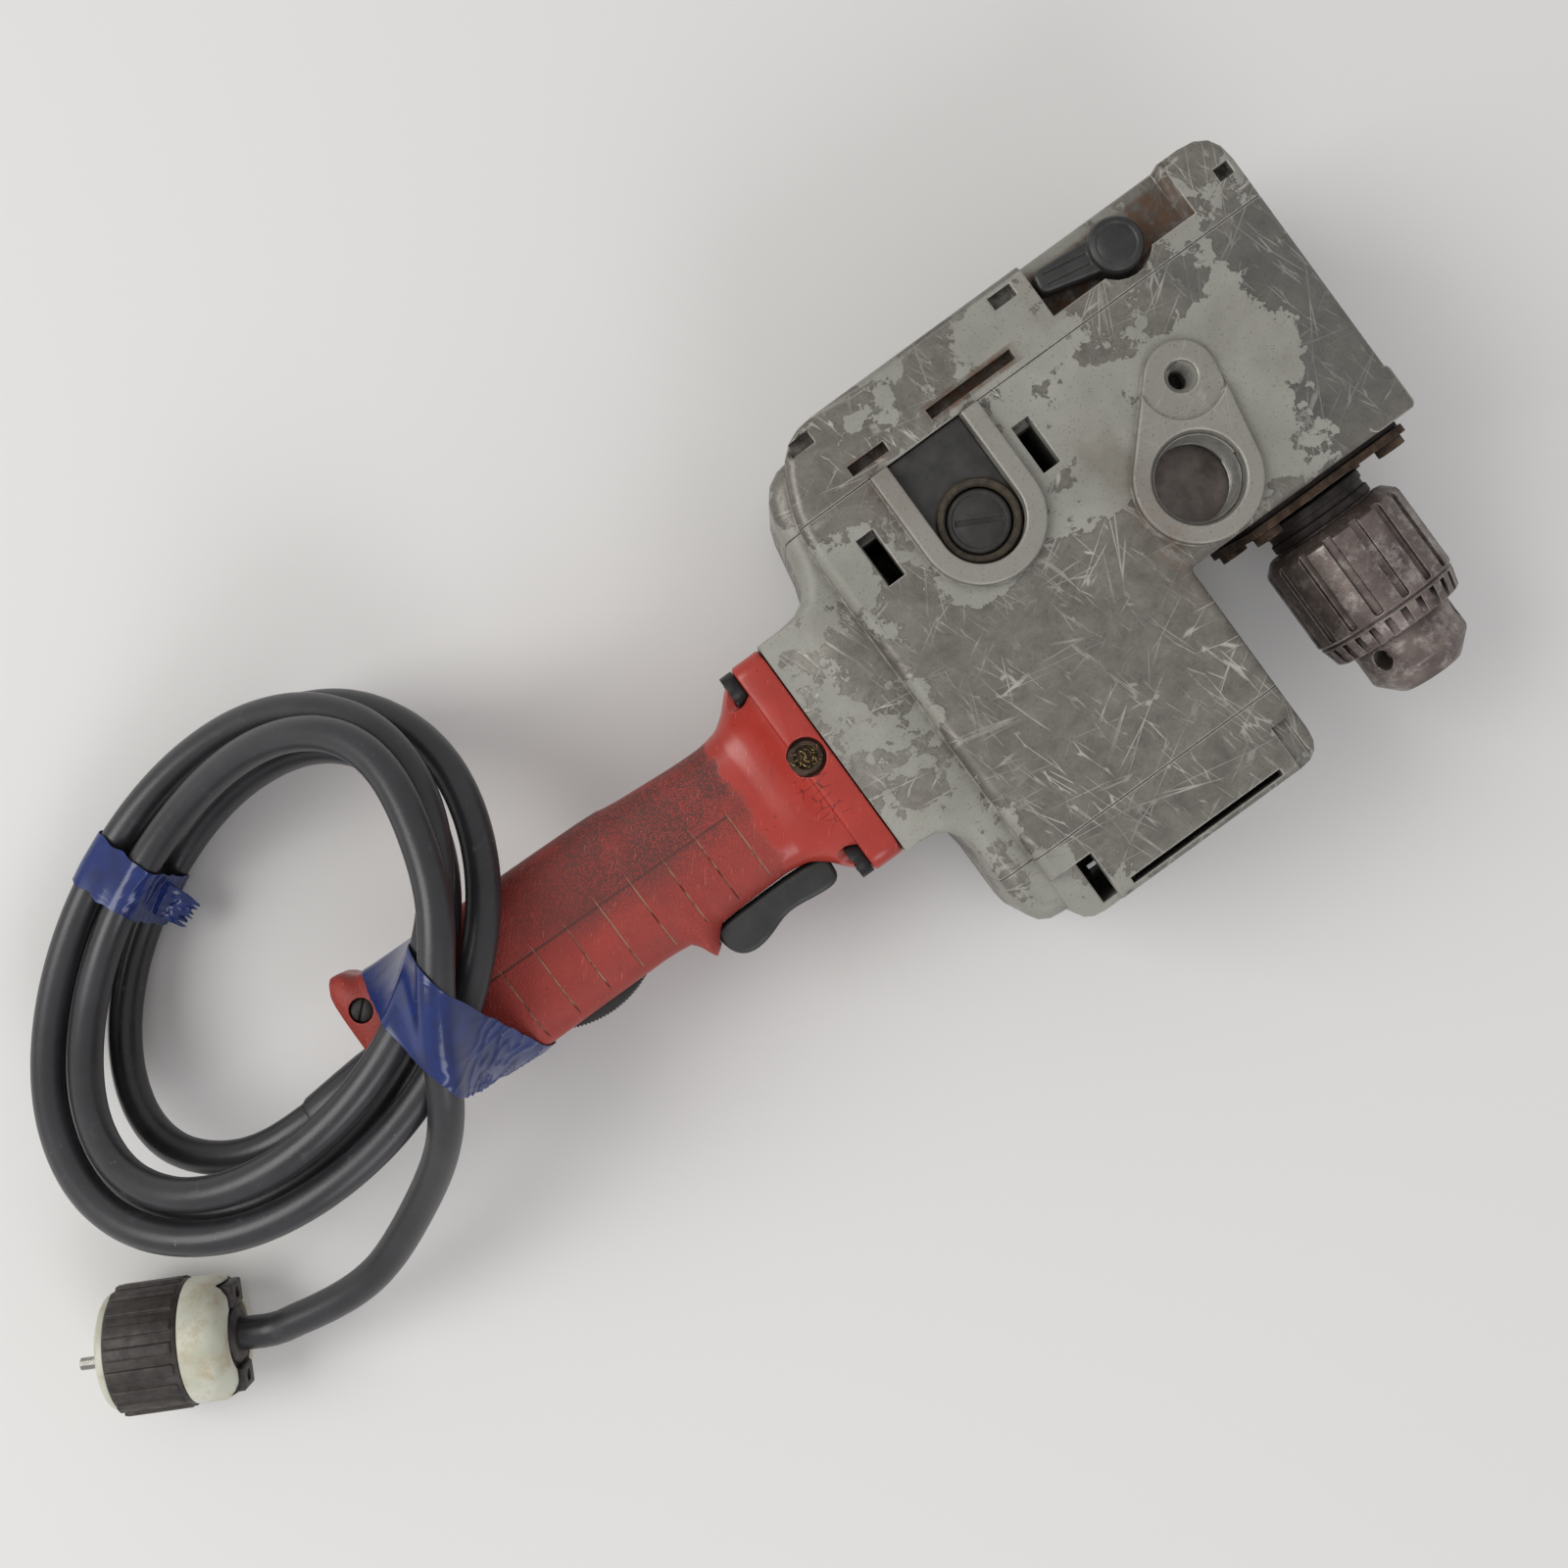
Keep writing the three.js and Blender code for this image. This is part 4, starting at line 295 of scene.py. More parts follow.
# Plain finishes: two tones, the colour of worn edges, the grain's size in mm and how rough it is
looks = {
    # Case-hardened chuck steel: browned by oil and rust, bright where hands have polished the lands
    "brownedSteel": dict(dark="#5a4f4d", light="#80756f", edge="#c9c1bb", grain=12, rough=0.36,
                         metal=0.7, wear=0.8, dirtAndShade=0.9, grimeAndShade="#1f1917", bump=0.35, round=0.45,
                         scuff=0.4),
    # Sheet steel that has rusted through its oil
    "rustedSteel": dict(dark="#33251c", light="#5d4937", edge="#82756a", grain=4, rough=0.66,
                        metal=0.35, wear=0.4, dirtAndShade=0.6, bump=0.7, fine=0.8),
    # Blackened screws, polished on the rims of the slots
    "blackenedSteel": dict(dark="#1d1c1c", light="#343232", edge="#7d7873", grain=5, rough=0.42,
                           metal=0.6, wear=0.5, dirtAndShade=0.6),
    # Chuck's collar behind the sleeve, black with grease and brush dust, and darker still as painted shade
    # in its recess
    "greasyShadedSteel": dict(dark="#241f1d", light="#3b3431", edge="#6f6660", grain=5, rough=0.6, metal=0.3,
                       wear=0.4, dirtAndShade=0.9, grimeAndShade="#120e0c"),
    # Steel floor of a socket, dark with old oil
    "oiledSteel": dict(dark="#655b56", light="#8a807a", edge="#a39a93", grain=9, rough=0.5, metal=0.3,
                       wear=0.3, dirtAndShade=0.7, scuff=0.15),
    # Ground and turned steel inside the gear case
    "groundSteel": dict(dark="#8d8b87", light="#a9a7a2", edge="#c4c2bd", grain=6, rough=0.3,
                        metal=1.0, wear=0.3, dirtAndShade=0.4),
    # Stacked electrical sheet steel
    "laminations": dict(dark="#5d5b58", light="#77746f", edge="#95928c", grain=8, rough=0.5,
                        metal=0.8, wear=0.2, dirtAndShade=0.4),
    # Enamelled copper wire
    "windingCopper": dict(dark="#8a4a22", light="#b3693a", edge="#d08a5a", grain=3, rough=0.35,
                          metal=0.9, wear=0.2, dirtAndShade=0.4),
    # Drawn and cast brass, yellow and dull with handling
    "brass": dict(dark="#8f7a4a", light="#c2ab72", edge="#e2d3a4", grain=5, rough=0.32, metal=1.0,
                  wear=0.3, dirtAndShade=0.4),
    # Pressed carbon of the brushes: black and matt
    "carbon": dict(dark="#1a1a1b", light="#2a2a2b", edge="#4a4a4b", grain=2, rough=0.55),
    # Phenolic brush holder: black, dulled by carbon dust
    "blackPhenolic": dict(dark="#222221", light="#363431", edge="#5a554e", grain=7, rough=0.5,
                          wear=0.35, dirtAndShade=0.3, bump=0.35, grimeAndShade="#2b231a"),
    # The collar round a brush cap, caked with oil and brush dust
    "grimyPhenolic": dict(dark="#2a241b", light="#463c2d", edge="#6a5f4b", grain=2.5, rough=0.7,
                          wear=0.4, dirtAndShade=0.3, bump=0.6),
    # Moulded nylon shell of the plug, scuffed and dusty
    "dustyNylon": dict(dark="#25211f", light="#3d3733", edge="#6d655d", grain=4, rough=0.5, wear=0.5,
                       dirtAndShade=0.4, bump=0.4, grimeAndShade="#3a2c20", round=0.6),
    # Moulded nylon of the switch pieces, polished grey at the edges by fingers
    "blackNylon": dict(dark="#1f1f1f", light="#30302f", edge="#6a6864", grain=10, rough=0.4,
                       wear=0.55, dirtAndShade=0.2, bump=0.22, round=0.8),
    # Cut threads and countersinks, bright from the tap
    "cutAluminium": dict(dark="#8e8c85", light="#b1afa8", edge="#d8d6cf", grain=4, rough=0.34,
                         metal=0.45, wear=0.5, dirtAndShade=0.6, reach=2),
    # Pressed fibre sheet
    "fibre": dict(dark="#1b1714", light="#2c2520", edge="#4a4038", grain=4, rough=0.8, wear=0.2),
}
finishes = {name: makePlain(name, look) for name, look in looks.items()}
finishes["chippedEnamel"] = makeEnamel()
print("stage: metal and plain materials")

# Glass-filled nylon, moulded red: glossy by the neck, stippled and dark with handling on the grip,
# with pale dust in the moulded lines
handleLook = {
    "red": "#a8352a", "redDark": "#992c22", "gripDark": "#4a2620", "edge": "#d4594a",
    "dirtAndShade": "#2a1512", "speck": "#5d1b16", "scrape": "#d98b7c", "longLine": "#47201a",
    "lineDark": "#6b3a2e", "dust": "#b59c82", "crack": "#3a1410",
    "grimeStart": -24, "stipple": 0.8, "longLineY": 1.6, "longLineWide": 0.32, "longLineSlope": 0.022,
    "crackPlace": (-19, -11, 36), "crackHalf": (12, 11, 9),
}


def makeHandleNylon():
    material, tree, place = startMaterial("mouldedRedNylon")
    parts = add(tree, "ShaderNodeSeparateXYZ", place)
    wobble = speckle(tree, place, 12, 0.3, 0.7)
    edgeX = add(tree, "ADD", parts.outputs[0], add(tree, "MULTIPLY", wobble, 5.0))
    grip = add(tree, "ShaderNodeMapRange", edgeX, handleLook["grimeStart"] - 10,
               handleLook["grimeStart"] - 12, 0.0, 1.0)
    depth = add(tree, "ABSOLUTE", parts.outputs[2])
    faceOnly = add(tree, "ShaderNodeMapRange", depth, 5.0, 12.0, 0.0, 1.0)
    grip = add(tree, "MULTIPLY", grip, faceOnly)
    tone = speckle(tree, place, 18, 0.3, 0.7)
    red = add(tree, "mix", tone, handleLook["redDark"], handleLook["red"])
    grains = add(tree, "ShaderNodeTexVoronoi", named={
        "Vector": place.outputs[0], "Scale": 1 / handleLook["stipple"], "Randomness": 1.0})
    pit = add(tree, "ShaderNodeMapRange", grains.outputs["Distance"], 0.25, 0.55, 0.0, 1.0)
    upper = add(tree, "ShaderNodeMapRange", parts.outputs[1], -6.0, 6.0, 0.35, 1.0)
    nearer = add(tree, "ShaderNodeMapRange", parts.outputs[0], -150.0, -90.0, 0.3, 1.0)
    held = add(tree, "MULTIPLY", grip, upper, nearer)
    soil = add(tree, "MULTIPLY", speckle(tree, place, 26, 0.26, 0.5, 6.0, 0.65), pit, held)
    colour = add(tree, "mix", add(tree, "MULTIPLY", soil, 0.9), red, handleLook["gripDark"])
    haze = add(tree, "MULTIPLY", speckle(tree, place, 14, 0.36, 0.66, 6.0, 0.7), held, 0.55)
    colour = add(tree, "mix", haze, colour, handleLook["gripDark"])
    worn, rounded = edges(tree, 0.7, 0.85, 0.985)
    colour = add(tree, "mix", add(tree, "MULTIPLY", worn, 0.35), colour, handleLook["edge"])
    # Darker in the corners from ambient occlusion: dirt together with painted shade
    dirtAndShade = add(tree, "MULTIPLY", corners(tree, 5, 0.35, 0.82), speckle(tree, place, 6, 0.25, 0.6))
    colour = add(tree, "mix", add(tree, "MULTIPLY", dirtAndShade, 0.85), colour, handleLook["dirtAndShade"])
    specks = add(tree, "MULTIPLY", speckle(tree, place, 2.2, 0.66, 0.72, 4.0), 0.7)
    colour = add(tree, "mix", specks, colour, handleLook["speck"])
    pale = add(tree, "MULTIPLY", streaks(tree, place, 6, 0.5, 50, 0.68, 0.74), 0.35)
    colour = add(tree, "mix", pale, colour, handleLook["scrape"])
    offLine = add(tree, "SUBTRACT", parts.outputs[1], handleLook["longLineY"])
    offLine = add(tree, "ADD", offLine, add(tree, "MULTIPLY", parts.outputs[0],
                                              handleLook["longLineSlope"]))
    offLine = add(tree, "ABSOLUTE", offLine)
    longLine = add(tree, "ShaderNodeMapRange", offLine, handleLook["longLineWide"], 0.7, 1.0, 0.0)
    longLine = add(tree, "MULTIPLY", longLine, add(
        tree, "ShaderNodeMapRange", parts.outputs[0], -43.5, -44.5, 0.0, 1.0), faceOnly)
    colour = add(tree, "mix", add(tree, "MULTIPLY", longLine, 0.75), colour, handleLook["longLine"])
    lines = add(tree, "ShaderNodeAttribute", attribute_name="mouldedLine")
    dust = add(tree, "mix", speckle(tree, place, 7, 0.4, 0.56, 5.0), handleLook["lineDark"],
               handleLook["dust"])
    colour = add(tree, "mix", lines.outputs["Fac"], colour, dust)
    cracked = areaMask(tree, place, handleLook["crackPlace"], handleLook["crackHalf"], 0.3)
    web = add(tree, "ShaderNodeTexVoronoi", feature="DISTANCE_TO_EDGE", named={
        "Vector": add(tree, "ShaderNodeMapping", place, (0, 0, 0), (0, 0, math.radians(-30)),
                      (1 / 9, 1 / 3.2, 1 / 9)), "Scale": 1.0})
    web = add(tree, "ShaderNodeMapRange", web.outputs["Distance"], 0.02, 0.05, 0.8, 0.0)
    broken = add(tree, "MULTIPLY", web, cracked, speckle(tree, place, 6, 0.46, 0.54))
    colour = add(tree, "mix", broken, colour, handleLook["crack"])
    height = add(tree, "ADD", add(tree, "MULTIPLY", pit, grip, -0.8),
                 add(tree, "MULTIPLY", longLine, -1.2), add(tree, "MULTIPLY", tone, 0.05))
    bump = add(tree, "ShaderNodeBump", named={
        "Strength": 0.55, "Distance": 0.2 * mm, "Height": height, "Normal": rounded})
    rough = add(tree, "blend", grip, 0.3, 0.56)
    finishMaterial(tree, Base_Color=colour, Roughness=rough, Normal=bump)
    return material


# Rubber-sheathed mains cable: black, satin, greyed by scuffs along its length
cableLook = {"dark": "#272729", "light": "#343437", "scuff": "#4c4c4f", "chalk": "#8b8982"}


def makeCableRubber():
    material, tree, place = startMaterial("cableRubber")
    tone = speckle(tree, place, 30, 0.3, 0.7)
    colour = add(tree, "mix", tone, cableLook["dark"], cableLook["light"])
    scuffs = add(tree, "MULTIPLY", speckle(tree, place, 9, 0.60, 0.70, 7.0, 0.72), 0.5)
    colour = add(tree, "mix", scuffs, colour, cableLook["scuff"])
    chalk = add(tree, "MULTIPLY", speckle(tree, place, 3.5, 0.69, 0.73, 5.0, 0.7), 0.7)
    colour = add(tree, "mix", chalk, colour, cableLook["chalk"])
    fine = speckle(tree, place, 1.2, 0.3, 0.7, 3.0)
    bump = add(tree, "ShaderNodeBump", named={
        "Strength": 0.25, "Distance": 0.1 * mm, "Height": fine})
    rough = add(tree, "blend", tone, 0.3, 0.38)
    rough = add(tree, "ADD", rough, add(tree, "MULTIPLY", scuffs, 0.3))
    finishMaterial(tree, Base_Color=colour, Roughness=rough, Normal=bump)
    return material


# Stretched vinyl tape: deep blue, glossy, paler where it whitens at a fold
vinylLook = {"dark": "#162454", "light": "#1b2f6d", "fold": "#344a94", "edge": "#4259a5"}


def makeVinyl():
    material, tree, place = startMaterial("vinylTape")
    tone = speckle(tree, place, 10, 0.35, 0.68)
    colour = add(tree, "mix", tone, vinylLook["dark"], vinylLook["light"])
    folds = streaks(tree, place, 16, 3.0, -62, 0.6, 0.75, 3.0)
    colour = add(tree, "mix", add(tree, "MULTIPLY", folds, 0.12), colour, vinylLook["fold"])
    worn, rounded = edges(tree, 0.3, 0.7, 0.97)
    colour = add(tree, "mix", add(tree, "MULTIPLY", worn, 0.25), colour, vinylLook["edge"])
    ripple = add(tree, "ADD", folds, add(tree, "MULTIPLY", speckle(tree, place, 7, 0.3, 0.7), 0.5))
    bump = add(tree, "ShaderNodeBump", named={
        "Strength": 0.16, "Distance": 0.4 * mm, "Height": ripple, "Normal": rounded})
    finishMaterial(tree, Base_Color=colour, Roughness=0.2, Normal=bump)
    return material


# Natural nylon of the plug's body: translucent white, stained by oily fingers
plugLook = {"dark": "#b5b5a2", "light": "#cbccbe", "stain": "#a5906a", "dirtAndShade": "#4a3620"}


def makePlugNylon():
    material, tree, place = startMaterial("naturalNylon")
    tone = speckle(tree, place, 16, 0.3, 0.7)
    colour = add(tree, "mix", tone, plugLook["dark"], plugLook["light"])
    stain = add(tree, "MULTIPLY", speckle(tree, place, 10, 0.5, 0.66, 6.0, 0.7), 0.6)
    colour = add(tree, "mix", stain, colour, plugLook["stain"])
    # Darker in the corners from ambient occlusion: dirt together with painted shade
    dirtAndShade = add(tree, "MULTIPLY", corners(tree, 5, 0.35, 0.8), speckle(tree, place, 4, 0.3, 0.6))
    colour = add(tree, "mix", add(tree, "MULTIPLY", dirtAndShade, 0.85), colour, plugLook["dirtAndShade"])
    worn, rounded = edges(tree, 0.8, 0.8, 0.98)
    bump = add(tree, "ShaderNodeBump", named={
        "Strength": 0.15, "Distance": 0.1 * mm, "Height": stain, "Normal": rounded})
    finishMaterial(tree, Base_Color=colour, Roughness=0.36, Normal=bump, Subsurface_Weight=0.15,
                   Subsurface_Scale=2 * mm)
    return material


finishes["redNylon"] = makeHandleNylon()
finishes["cableRubber"] = makeCableRubber()
finishes["vinylTape"] = makeVinyl()
finishes["naturalNylon"] = makePlugNylon()
print("stage: handle, cord, tape and plug materials")


# A mesh from points in mm and faces
def meshOf(name, points, faces):
    mesh = bpy.data.meshes.new(name)
    mesh.from_pydata([tuple(spot(*p)) for p in points], [], faces)
    mesh.validate()
    return mesh


# Joins doubled points and turns all faces outwards
def outward(mesh):
    shape = bmesh.new()
    shape.from_mesh(mesh)
    bmesh.ops.remove_doubles(shape, verts=shape.verts, dist=0.005 * mm)
    bmesh.ops.recalc_face_normals(shape, faces=shape.faces)
    shape.to_mesh(mesh)
    shape.free()
    return mesh


def looseObject(name, mesh):
    piece = bpy.data.objects.new(name, mesh)
    bpy.context.scene.collection.objects.link(piece)
    return piece


# Turns a piece with modifiers into a plain mesh
def settle(piece):
    bpy.context.view_layer.update()
    graph = bpy.context.evaluated_depsgraph_get()
    mesh = bpy.data.meshes.new_from_object(piece.evaluated_get(graph))
    piece.modifiers.clear()
    old = piece.data
    piece.data = mesh
    if old.users == 0 and isinstance(old, bpy.types.Mesh):
        bpy.data.meshes.remove(old)
    return piece


def smooth(mesh, angle=35):
    mesh.polygons.foreach_set("use_smooth", [True] * len(mesh.polygons))
    mesh.set_sharp_from_angle(angle=math.radians(angle))


# Cuts or joins pieces, one after another
def combine(piece, others, operation):
    for other in others:
        change = piece.modifiers.new("change", "BOOLEAN")
        change.operation = operation
        change.solver = "EXACT"
        change.use_hole_tolerant = True
        change.object = other
        settle(piece)
    for other in others:
        bpy.data.objects.remove(other)
    return piece


# Gives a piece its finish, the body it rides on, its material slot and the nodes it stands for
def hand(piece, body, finish, replaced=(), angle=35):
    piece.data.materials.clear()
    piece.data.materials.append(finishes[finish])
    if angle and isinstance(piece.data, bpy.types.Mesh):
        smooth(piece.data, angle)
    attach(piece, body)
    if replaced:
        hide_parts(*replaced)


# A merged copy of a CAD node with its flat faces joined
def copyOf(name, node):
    shape = bmesh.new()
    shape.from_mesh(nodes[node].data)
    bmesh.ops.remove_doubles(shape, verts=shape.verts, dist=0.01 * mm)
    bmesh.ops.dissolve_limit(shape, angle_limit=math.radians(0.6), verts=shape.verts,
                             edges=shape.edges)
    mesh = bpy.data.meshes.new(name)
    shape.to_mesh(mesh)
    shape.free()
    return looseObject(name, mesh)


# Faces between rings of points that follow each other
def ringFaces(rings, count):
    starts = [(i * count + k, i * count + (k + 1) % count) for i in range(rings - 1) for k in range(count)]
    return [(a, b, b + count, a + count) for a, b in starts]


# Faces that close the first and the last ring
def endFaces(rings, count):
    last = (rings - 1) * count
    return [tuple(range(count)), tuple(range(last + count - 1, last - 1, -1))]


# A profile of (radius, place on the axis) turned round the axis that runs from `start` along `way`
def turnedPiece(name, profile, start, way, sides=64, side=(0, 0, 1)):
    way = Vector(way).normalized()
    side = Vector(side)
    other = way.cross(side).normalized()
    points = []
    for radius, far in profile:
        for k in range(sides):
            angle = 2 * math.pi * k / sides
            arm = side * math.cos(angle) + other * math.sin(angle)
            points.append(Vector(start) + way * far + arm * radius)
    return looseObject(name, outward(meshOf(name, points, ringFaces(len(profile), sides))))


def boxPiece(name, low, high):
    points = [(x, y, z) for x in (low[0], high[0]) for y in (low[1], high[1])
              for z in (low[2], high[2])]
    faces = [(0, 1, 3, 2), (4, 6, 7, 5), (0, 4, 5, 1), (2, 3, 7, 6), (0, 2, 6, 4), (1, 5, 7, 3)]
    return looseObject(name, outward(meshOf(name, points, faces)))


# A post from one height to another with an outline of (x, y) points
def postPiece(name, outline, low, high):
    count = len(outline)
    points = [(x, y, low) for x, y in outline] + [(x, y, high) for x, y in outline]
    return looseObject(name, outward(meshOf(name, points, endFaces(2, count) + ringFaces(2, count))))


def circle(x, y, radius, sides=64, first=0.0, last=360.0, close=True):
    count = sides if close else sides + 1
    return [(x + radius * math.cos(math.radians(first + (last - first) * k / sides)),
             y + radius * math.sin(math.radians(first + (last - first) * k / sides)))
            for k in range(count)]


# An oblong from one corner to the other with round corners
def roundedOutline(low, high, corner, steps=8):
    (x0, y0), (x1, y1) = (low[0] + corner, low[1] + corner), (high[0] - corner, high[1] - corner)
    points = []
    for x, y, first in ((x1, y1, 0), (x0, y1, 90), (x0, y0, 180), (x1, y0, 270)):
        points += circle(x, y, corner, steps, first, first + 90, False)
    return points


# Camera over the drill, as the photograph was taken
view = {"place": (-0.037, 0.0055, 0.780), "turn": -36.1, "lens": 44.47}
cameraData = bpy.data.cameras.new("camera")
cameraData.lens = view["lens"]
cameraData.sensor_width = 36
camera = bpy.data.objects.new("camera", cameraData)
camera.location = view["place"]
camera.rotation_euler = (0, 0, math.radians(view["turn"]))
bpy.context.scene.collection.objects.link(camera)
bpy.context.scene.camera = camera

# Cord: out of the protector, three turns and more of an oval coil, and down to the plug
cordSizes = {
    "radius": 6.5, "x": -219, "y": 65.5, "halfX": 94.2, "halfY": 67.3, "tilt": 22,
    "spread": 14.5, "start": 221, "turns": 3.71, "steps": 24, "highAngle": -79, "layer": 16.5,
    "low": -47.5, "high": 28.5, "rise": 1.6, "lowerShift": -5, "firstDrop": 3.4,
    "lastLift": 14.5, "lastReach": 12, "climbHalf": 0.25, "liftFrom": 0.55, "liftTo": 0.15,
    "dropTo": 0.35, "reachFrom": 0.32,
    "lead": [(-236.3, 3, 0), (-239.5, 3, 0)],
    "tail": [(44, 16, 60), (29, -8, 55), (14, -27, 41), (-6, -40, 21), (-33, -52, 0),
             (-64, -60, -17)],
    "handleEnd": -202, "step": 8.0, "evening": 26,
}
plugSizes = {"x": -360, "y": -26, "z": -30.7, "turn": 28, "length": 35, "body": 13, "cordStraight": 13}


# Runs evenly from 0 to 1 between two turns of the coil
def through(turn, first, last):
    share = min(max((turn - first) / (last - first), 0), 1)
    return share * share * (3 - 2 * share)


# Height of the coil's middle line: high where it crosses the handle, low on the far side
def coilHeight(turn):
    c = cordSizes
    facing = math.radians(c["start"] - 360 * turn - c["highAngle"])
    rise = 1 - ((1 - math.cos(facing)) / 2) ** c["rise"]
    return c["low"] + rise * (c["high"] - c["low"])


def coilPoint(turn):
    c = cordSizes
    angle = math.radians(c["start"] - 360 * turn)
    half = c["turns"] / 2
    climb = through(turn, half - c["climbHalf"], half + c["climbHalf"])
    lift = through(turn, c["turns"] - c["liftFrom"], c["turns"] - c["liftTo"])
    drop = 1 - through(turn, 0, c["dropTo"])
    reach = c["lastReach"] * through(turn, c["turns"] - c["reachFrom"], c["turns"])
    spread = c["spread"] * (1 - 2 * abs(turn / half - 1)) + reach
    x = (c["halfX"] + spread) * math.cos(angle)
    y = (c["halfY"] + spread) * math.sin(angle)
    tilt = math.radians(c["tilt"])
    height = coilHeight(turn) + climb * c["layer"] + lift * c["lastLift"]
    return Vector((c["x"] + x * math.cos(tilt) - y * math.sin(tilt),
                   c["y"] + x * math.sin(tilt) + y * math.cos(tilt)
                   + c["lowerShift"] * (1 - climb),
                   height - drop * (coilHeight(0) + c["firstDrop"])))


# Evens a line of points without drawing its loops in
def evened(points, rounds):
    for turn in range(2 * rounds):
        share = 0.5 if turn % 2 == 0 else -0.51
        inner = [b + ((a + c) / 2 - b) * share for a, b, c in zip(points, points[1:], points[2:])]
        points = [points[0]] + inner + [points[-1]]
    return points


# Points on a smooth curve through the given ones, from the second to the last but one
def curved(points, steps):
    fine = []
    for a, b, c, d in zip(points, points[1:], points[2:], points[3:]):
        for i in range(steps):
            t = i / steps
            fine.append(0.5 * (2 * b + (c - a) * t + (2 * a - 5 * b + 4 * c - d) * t * t
                               + (3 * b - a - 3 * c + d) * t ** 3))
    return fine


# Points at an even step along a smooth curve through the given ones
def spaced(points, step):
    ends = [points[0] * 2 - points[1]] + points + [points[-1] * 2 - points[-2]]
    fine = curved(ends, 12) + [points[-1]]
    row, walked = [fine[0]], 0.0
    for a, b in zip(fine, fine[1:]):
        walked += (b - a).length
        if walked >= step:
            row.append(b)
            walked = 0.0
    return row[:-1] + [fine[-1]]


def cordLine():
    c = cordSizes
    count = round(c["turns"] * c["steps"])
    coil = [coilPoint(c["turns"] * i / count) for i in range(count + 1)]
    first = coil[0] + (coil[0] - coil[1]).normalized() * 2 * c["radius"]
    last = coil[-1] + (coil[-1] - coil[-2]).normalized() * 2 * c["radius"]
    lastOut = last + (last - coil[-1])
    turn = math.radians(-plugSizes["turn"])
    axis = Vector((math.cos(turn), math.sin(turn), 0))
    back = Vector((plugSizes["x"], plugSizes["y"], plugSizes["z"]))
    back += axis * (plugSizes["length"] + plugSizes["body"])
    tail = [Vector((c["handleEnd"] + x, y, z)) for x, y, z in c["tail"]]
    straight = back + axis * plugSizes["cordStraight"]
    free = [Vector(c["lead"][-1]), first] + coil + [last, lastOut] + tail + [straight]
    return [Vector(c["lead"][0])] + evened(spaced(free, c["step"]), c["evening"]) + [back]


def makeCord():
    line = cordLine()
    data = bpy.data.curves.new("cord", "CURVE")
    data.dimensions = "3D"
    data.bevel_depth = cordSizes["radius"] * mm
    data.bevel_resolution = 6
    data.resolution_u = 3
    data.use_fill_caps = True
    spline = data.splines.new("BEZIER")
    spline.bezier_points.add(len(line) - 1)
    for point, place in zip(spline.bezier_points, line):
        point.co = spot(*place)
        point.handle_left_type = point.handle_right_type = "AUTO"
    cord = looseObject("cord", data)
    bpy.context.view_layer.update()
    length = spline.calc_length()
    print(f"cord length {length:.3f} m")
    return cord, line, length


cord, cordPoints, cordLength = makeCord()
print("stage: camera and cord")

# Trees of Geometry Nodes for what repeats


def startTree(name, sizes):
    tree = bpy.data.node_groups.new(name, "GeometryNodeTree")
    tree.interface.new_socket("Geometry", in_out="INPUT", socket_type="NodeSocketGeometry")
    for key, value in sizes.items():
        kind = "NodeSocketInt" if isinstance(value, int) else "NodeSocketFloat"
        tree.interface.new_socket(key, in_out="INPUT", socket_type=kind)
    tree.interface.new_socket("finish", in_out="INPUT", socket_type="NodeSocketMaterial")
    tree.interface.new_socket("Geometry", in_out="OUTPUT", socket_type="NodeSocketGeometry")
    return tree, add(tree, "NodeGroupInput")


def finishTree(tree, source, shape):
    real = add(tree, "GeometryNodeRealizeInstances", shape)
    dressed = add(tree, "GeometryNodeSetMaterial", real, None, source.outputs["finish"])
    add(tree, "NodeGroupOutput", dressed)
    return tree


# Runs a tree on a mesh and gives a plain piece, moved to its place
def grown(name, tree, sizes, finish, matrix, base=None):
    mesh = base or bpy.data.meshes.new(name)
    piece = looseObject(name, mesh)
    modifier = piece.modifiers.new("grow", "NODES")
    modifier.node_group = tree
    for item in tree.interface.items_tree:
        if item.in_out == "INPUT" and item.name in sizes:
            modifier[item.identifier] = sizes[item.name]
        if item.in_out == "INPUT" and item.name == "finish":
            modifier[item.identifier] = finishes[finish]
    settle(piece)
    piece.data.transform(matrix)
    return piece


# A frame whose Z runs along `way` from a place in mm
def aimed(place, way, side=(1, 0, 0)):
    way = Vector(way).normalized()
    side = (Vector(side) - way * way.dot(Vector(side))).normalized()
    turn = Matrix((side, way.cross(side), way)).transposed().to_4x4()
    return Matrix.Translation(spot(*place)) @ turn


# Thread: a ridge of three sides wound up a bore. The sizes of the trees are in metres
socketThread = {"radius": 0.0158, "pitch": 0.00221, "turns": 7.0, "ridge": 0.0015}
lockThread = {"radius": 0.00405, "pitch": 0.00125, "turns": 10.0, "ridge": 0.0006}


def makeThreadTree():
    tree, source = startTree("threadTurns", socketThread)
    height = add(tree, "MULTIPLY", source.outputs["pitch"], source.outputs["turns"])
    helix = add(tree, "GeometryNodeCurveSpiral", 48, source.outputs["turns"],
                source.outputs["radius"], source.outputs["radius"], height)
    section = add(tree, "GeometryNodeCurvePrimitiveCircle", 3, named={
        "Radius": source.outputs["ridge"]})
    ridge = add(tree, "GeometryNodeCurveToMesh", helix, section, named={"Fill Caps": True})
    return finishTree(tree, source, ridge)


# A ring of bars: flutes and key teeth are cut with it, and the plug's ribs are made of it
ringSizes = {"count": 16, "radius": 0.0285, "width": 0.0036, "depth": 0.0036, "length": 0.0335}


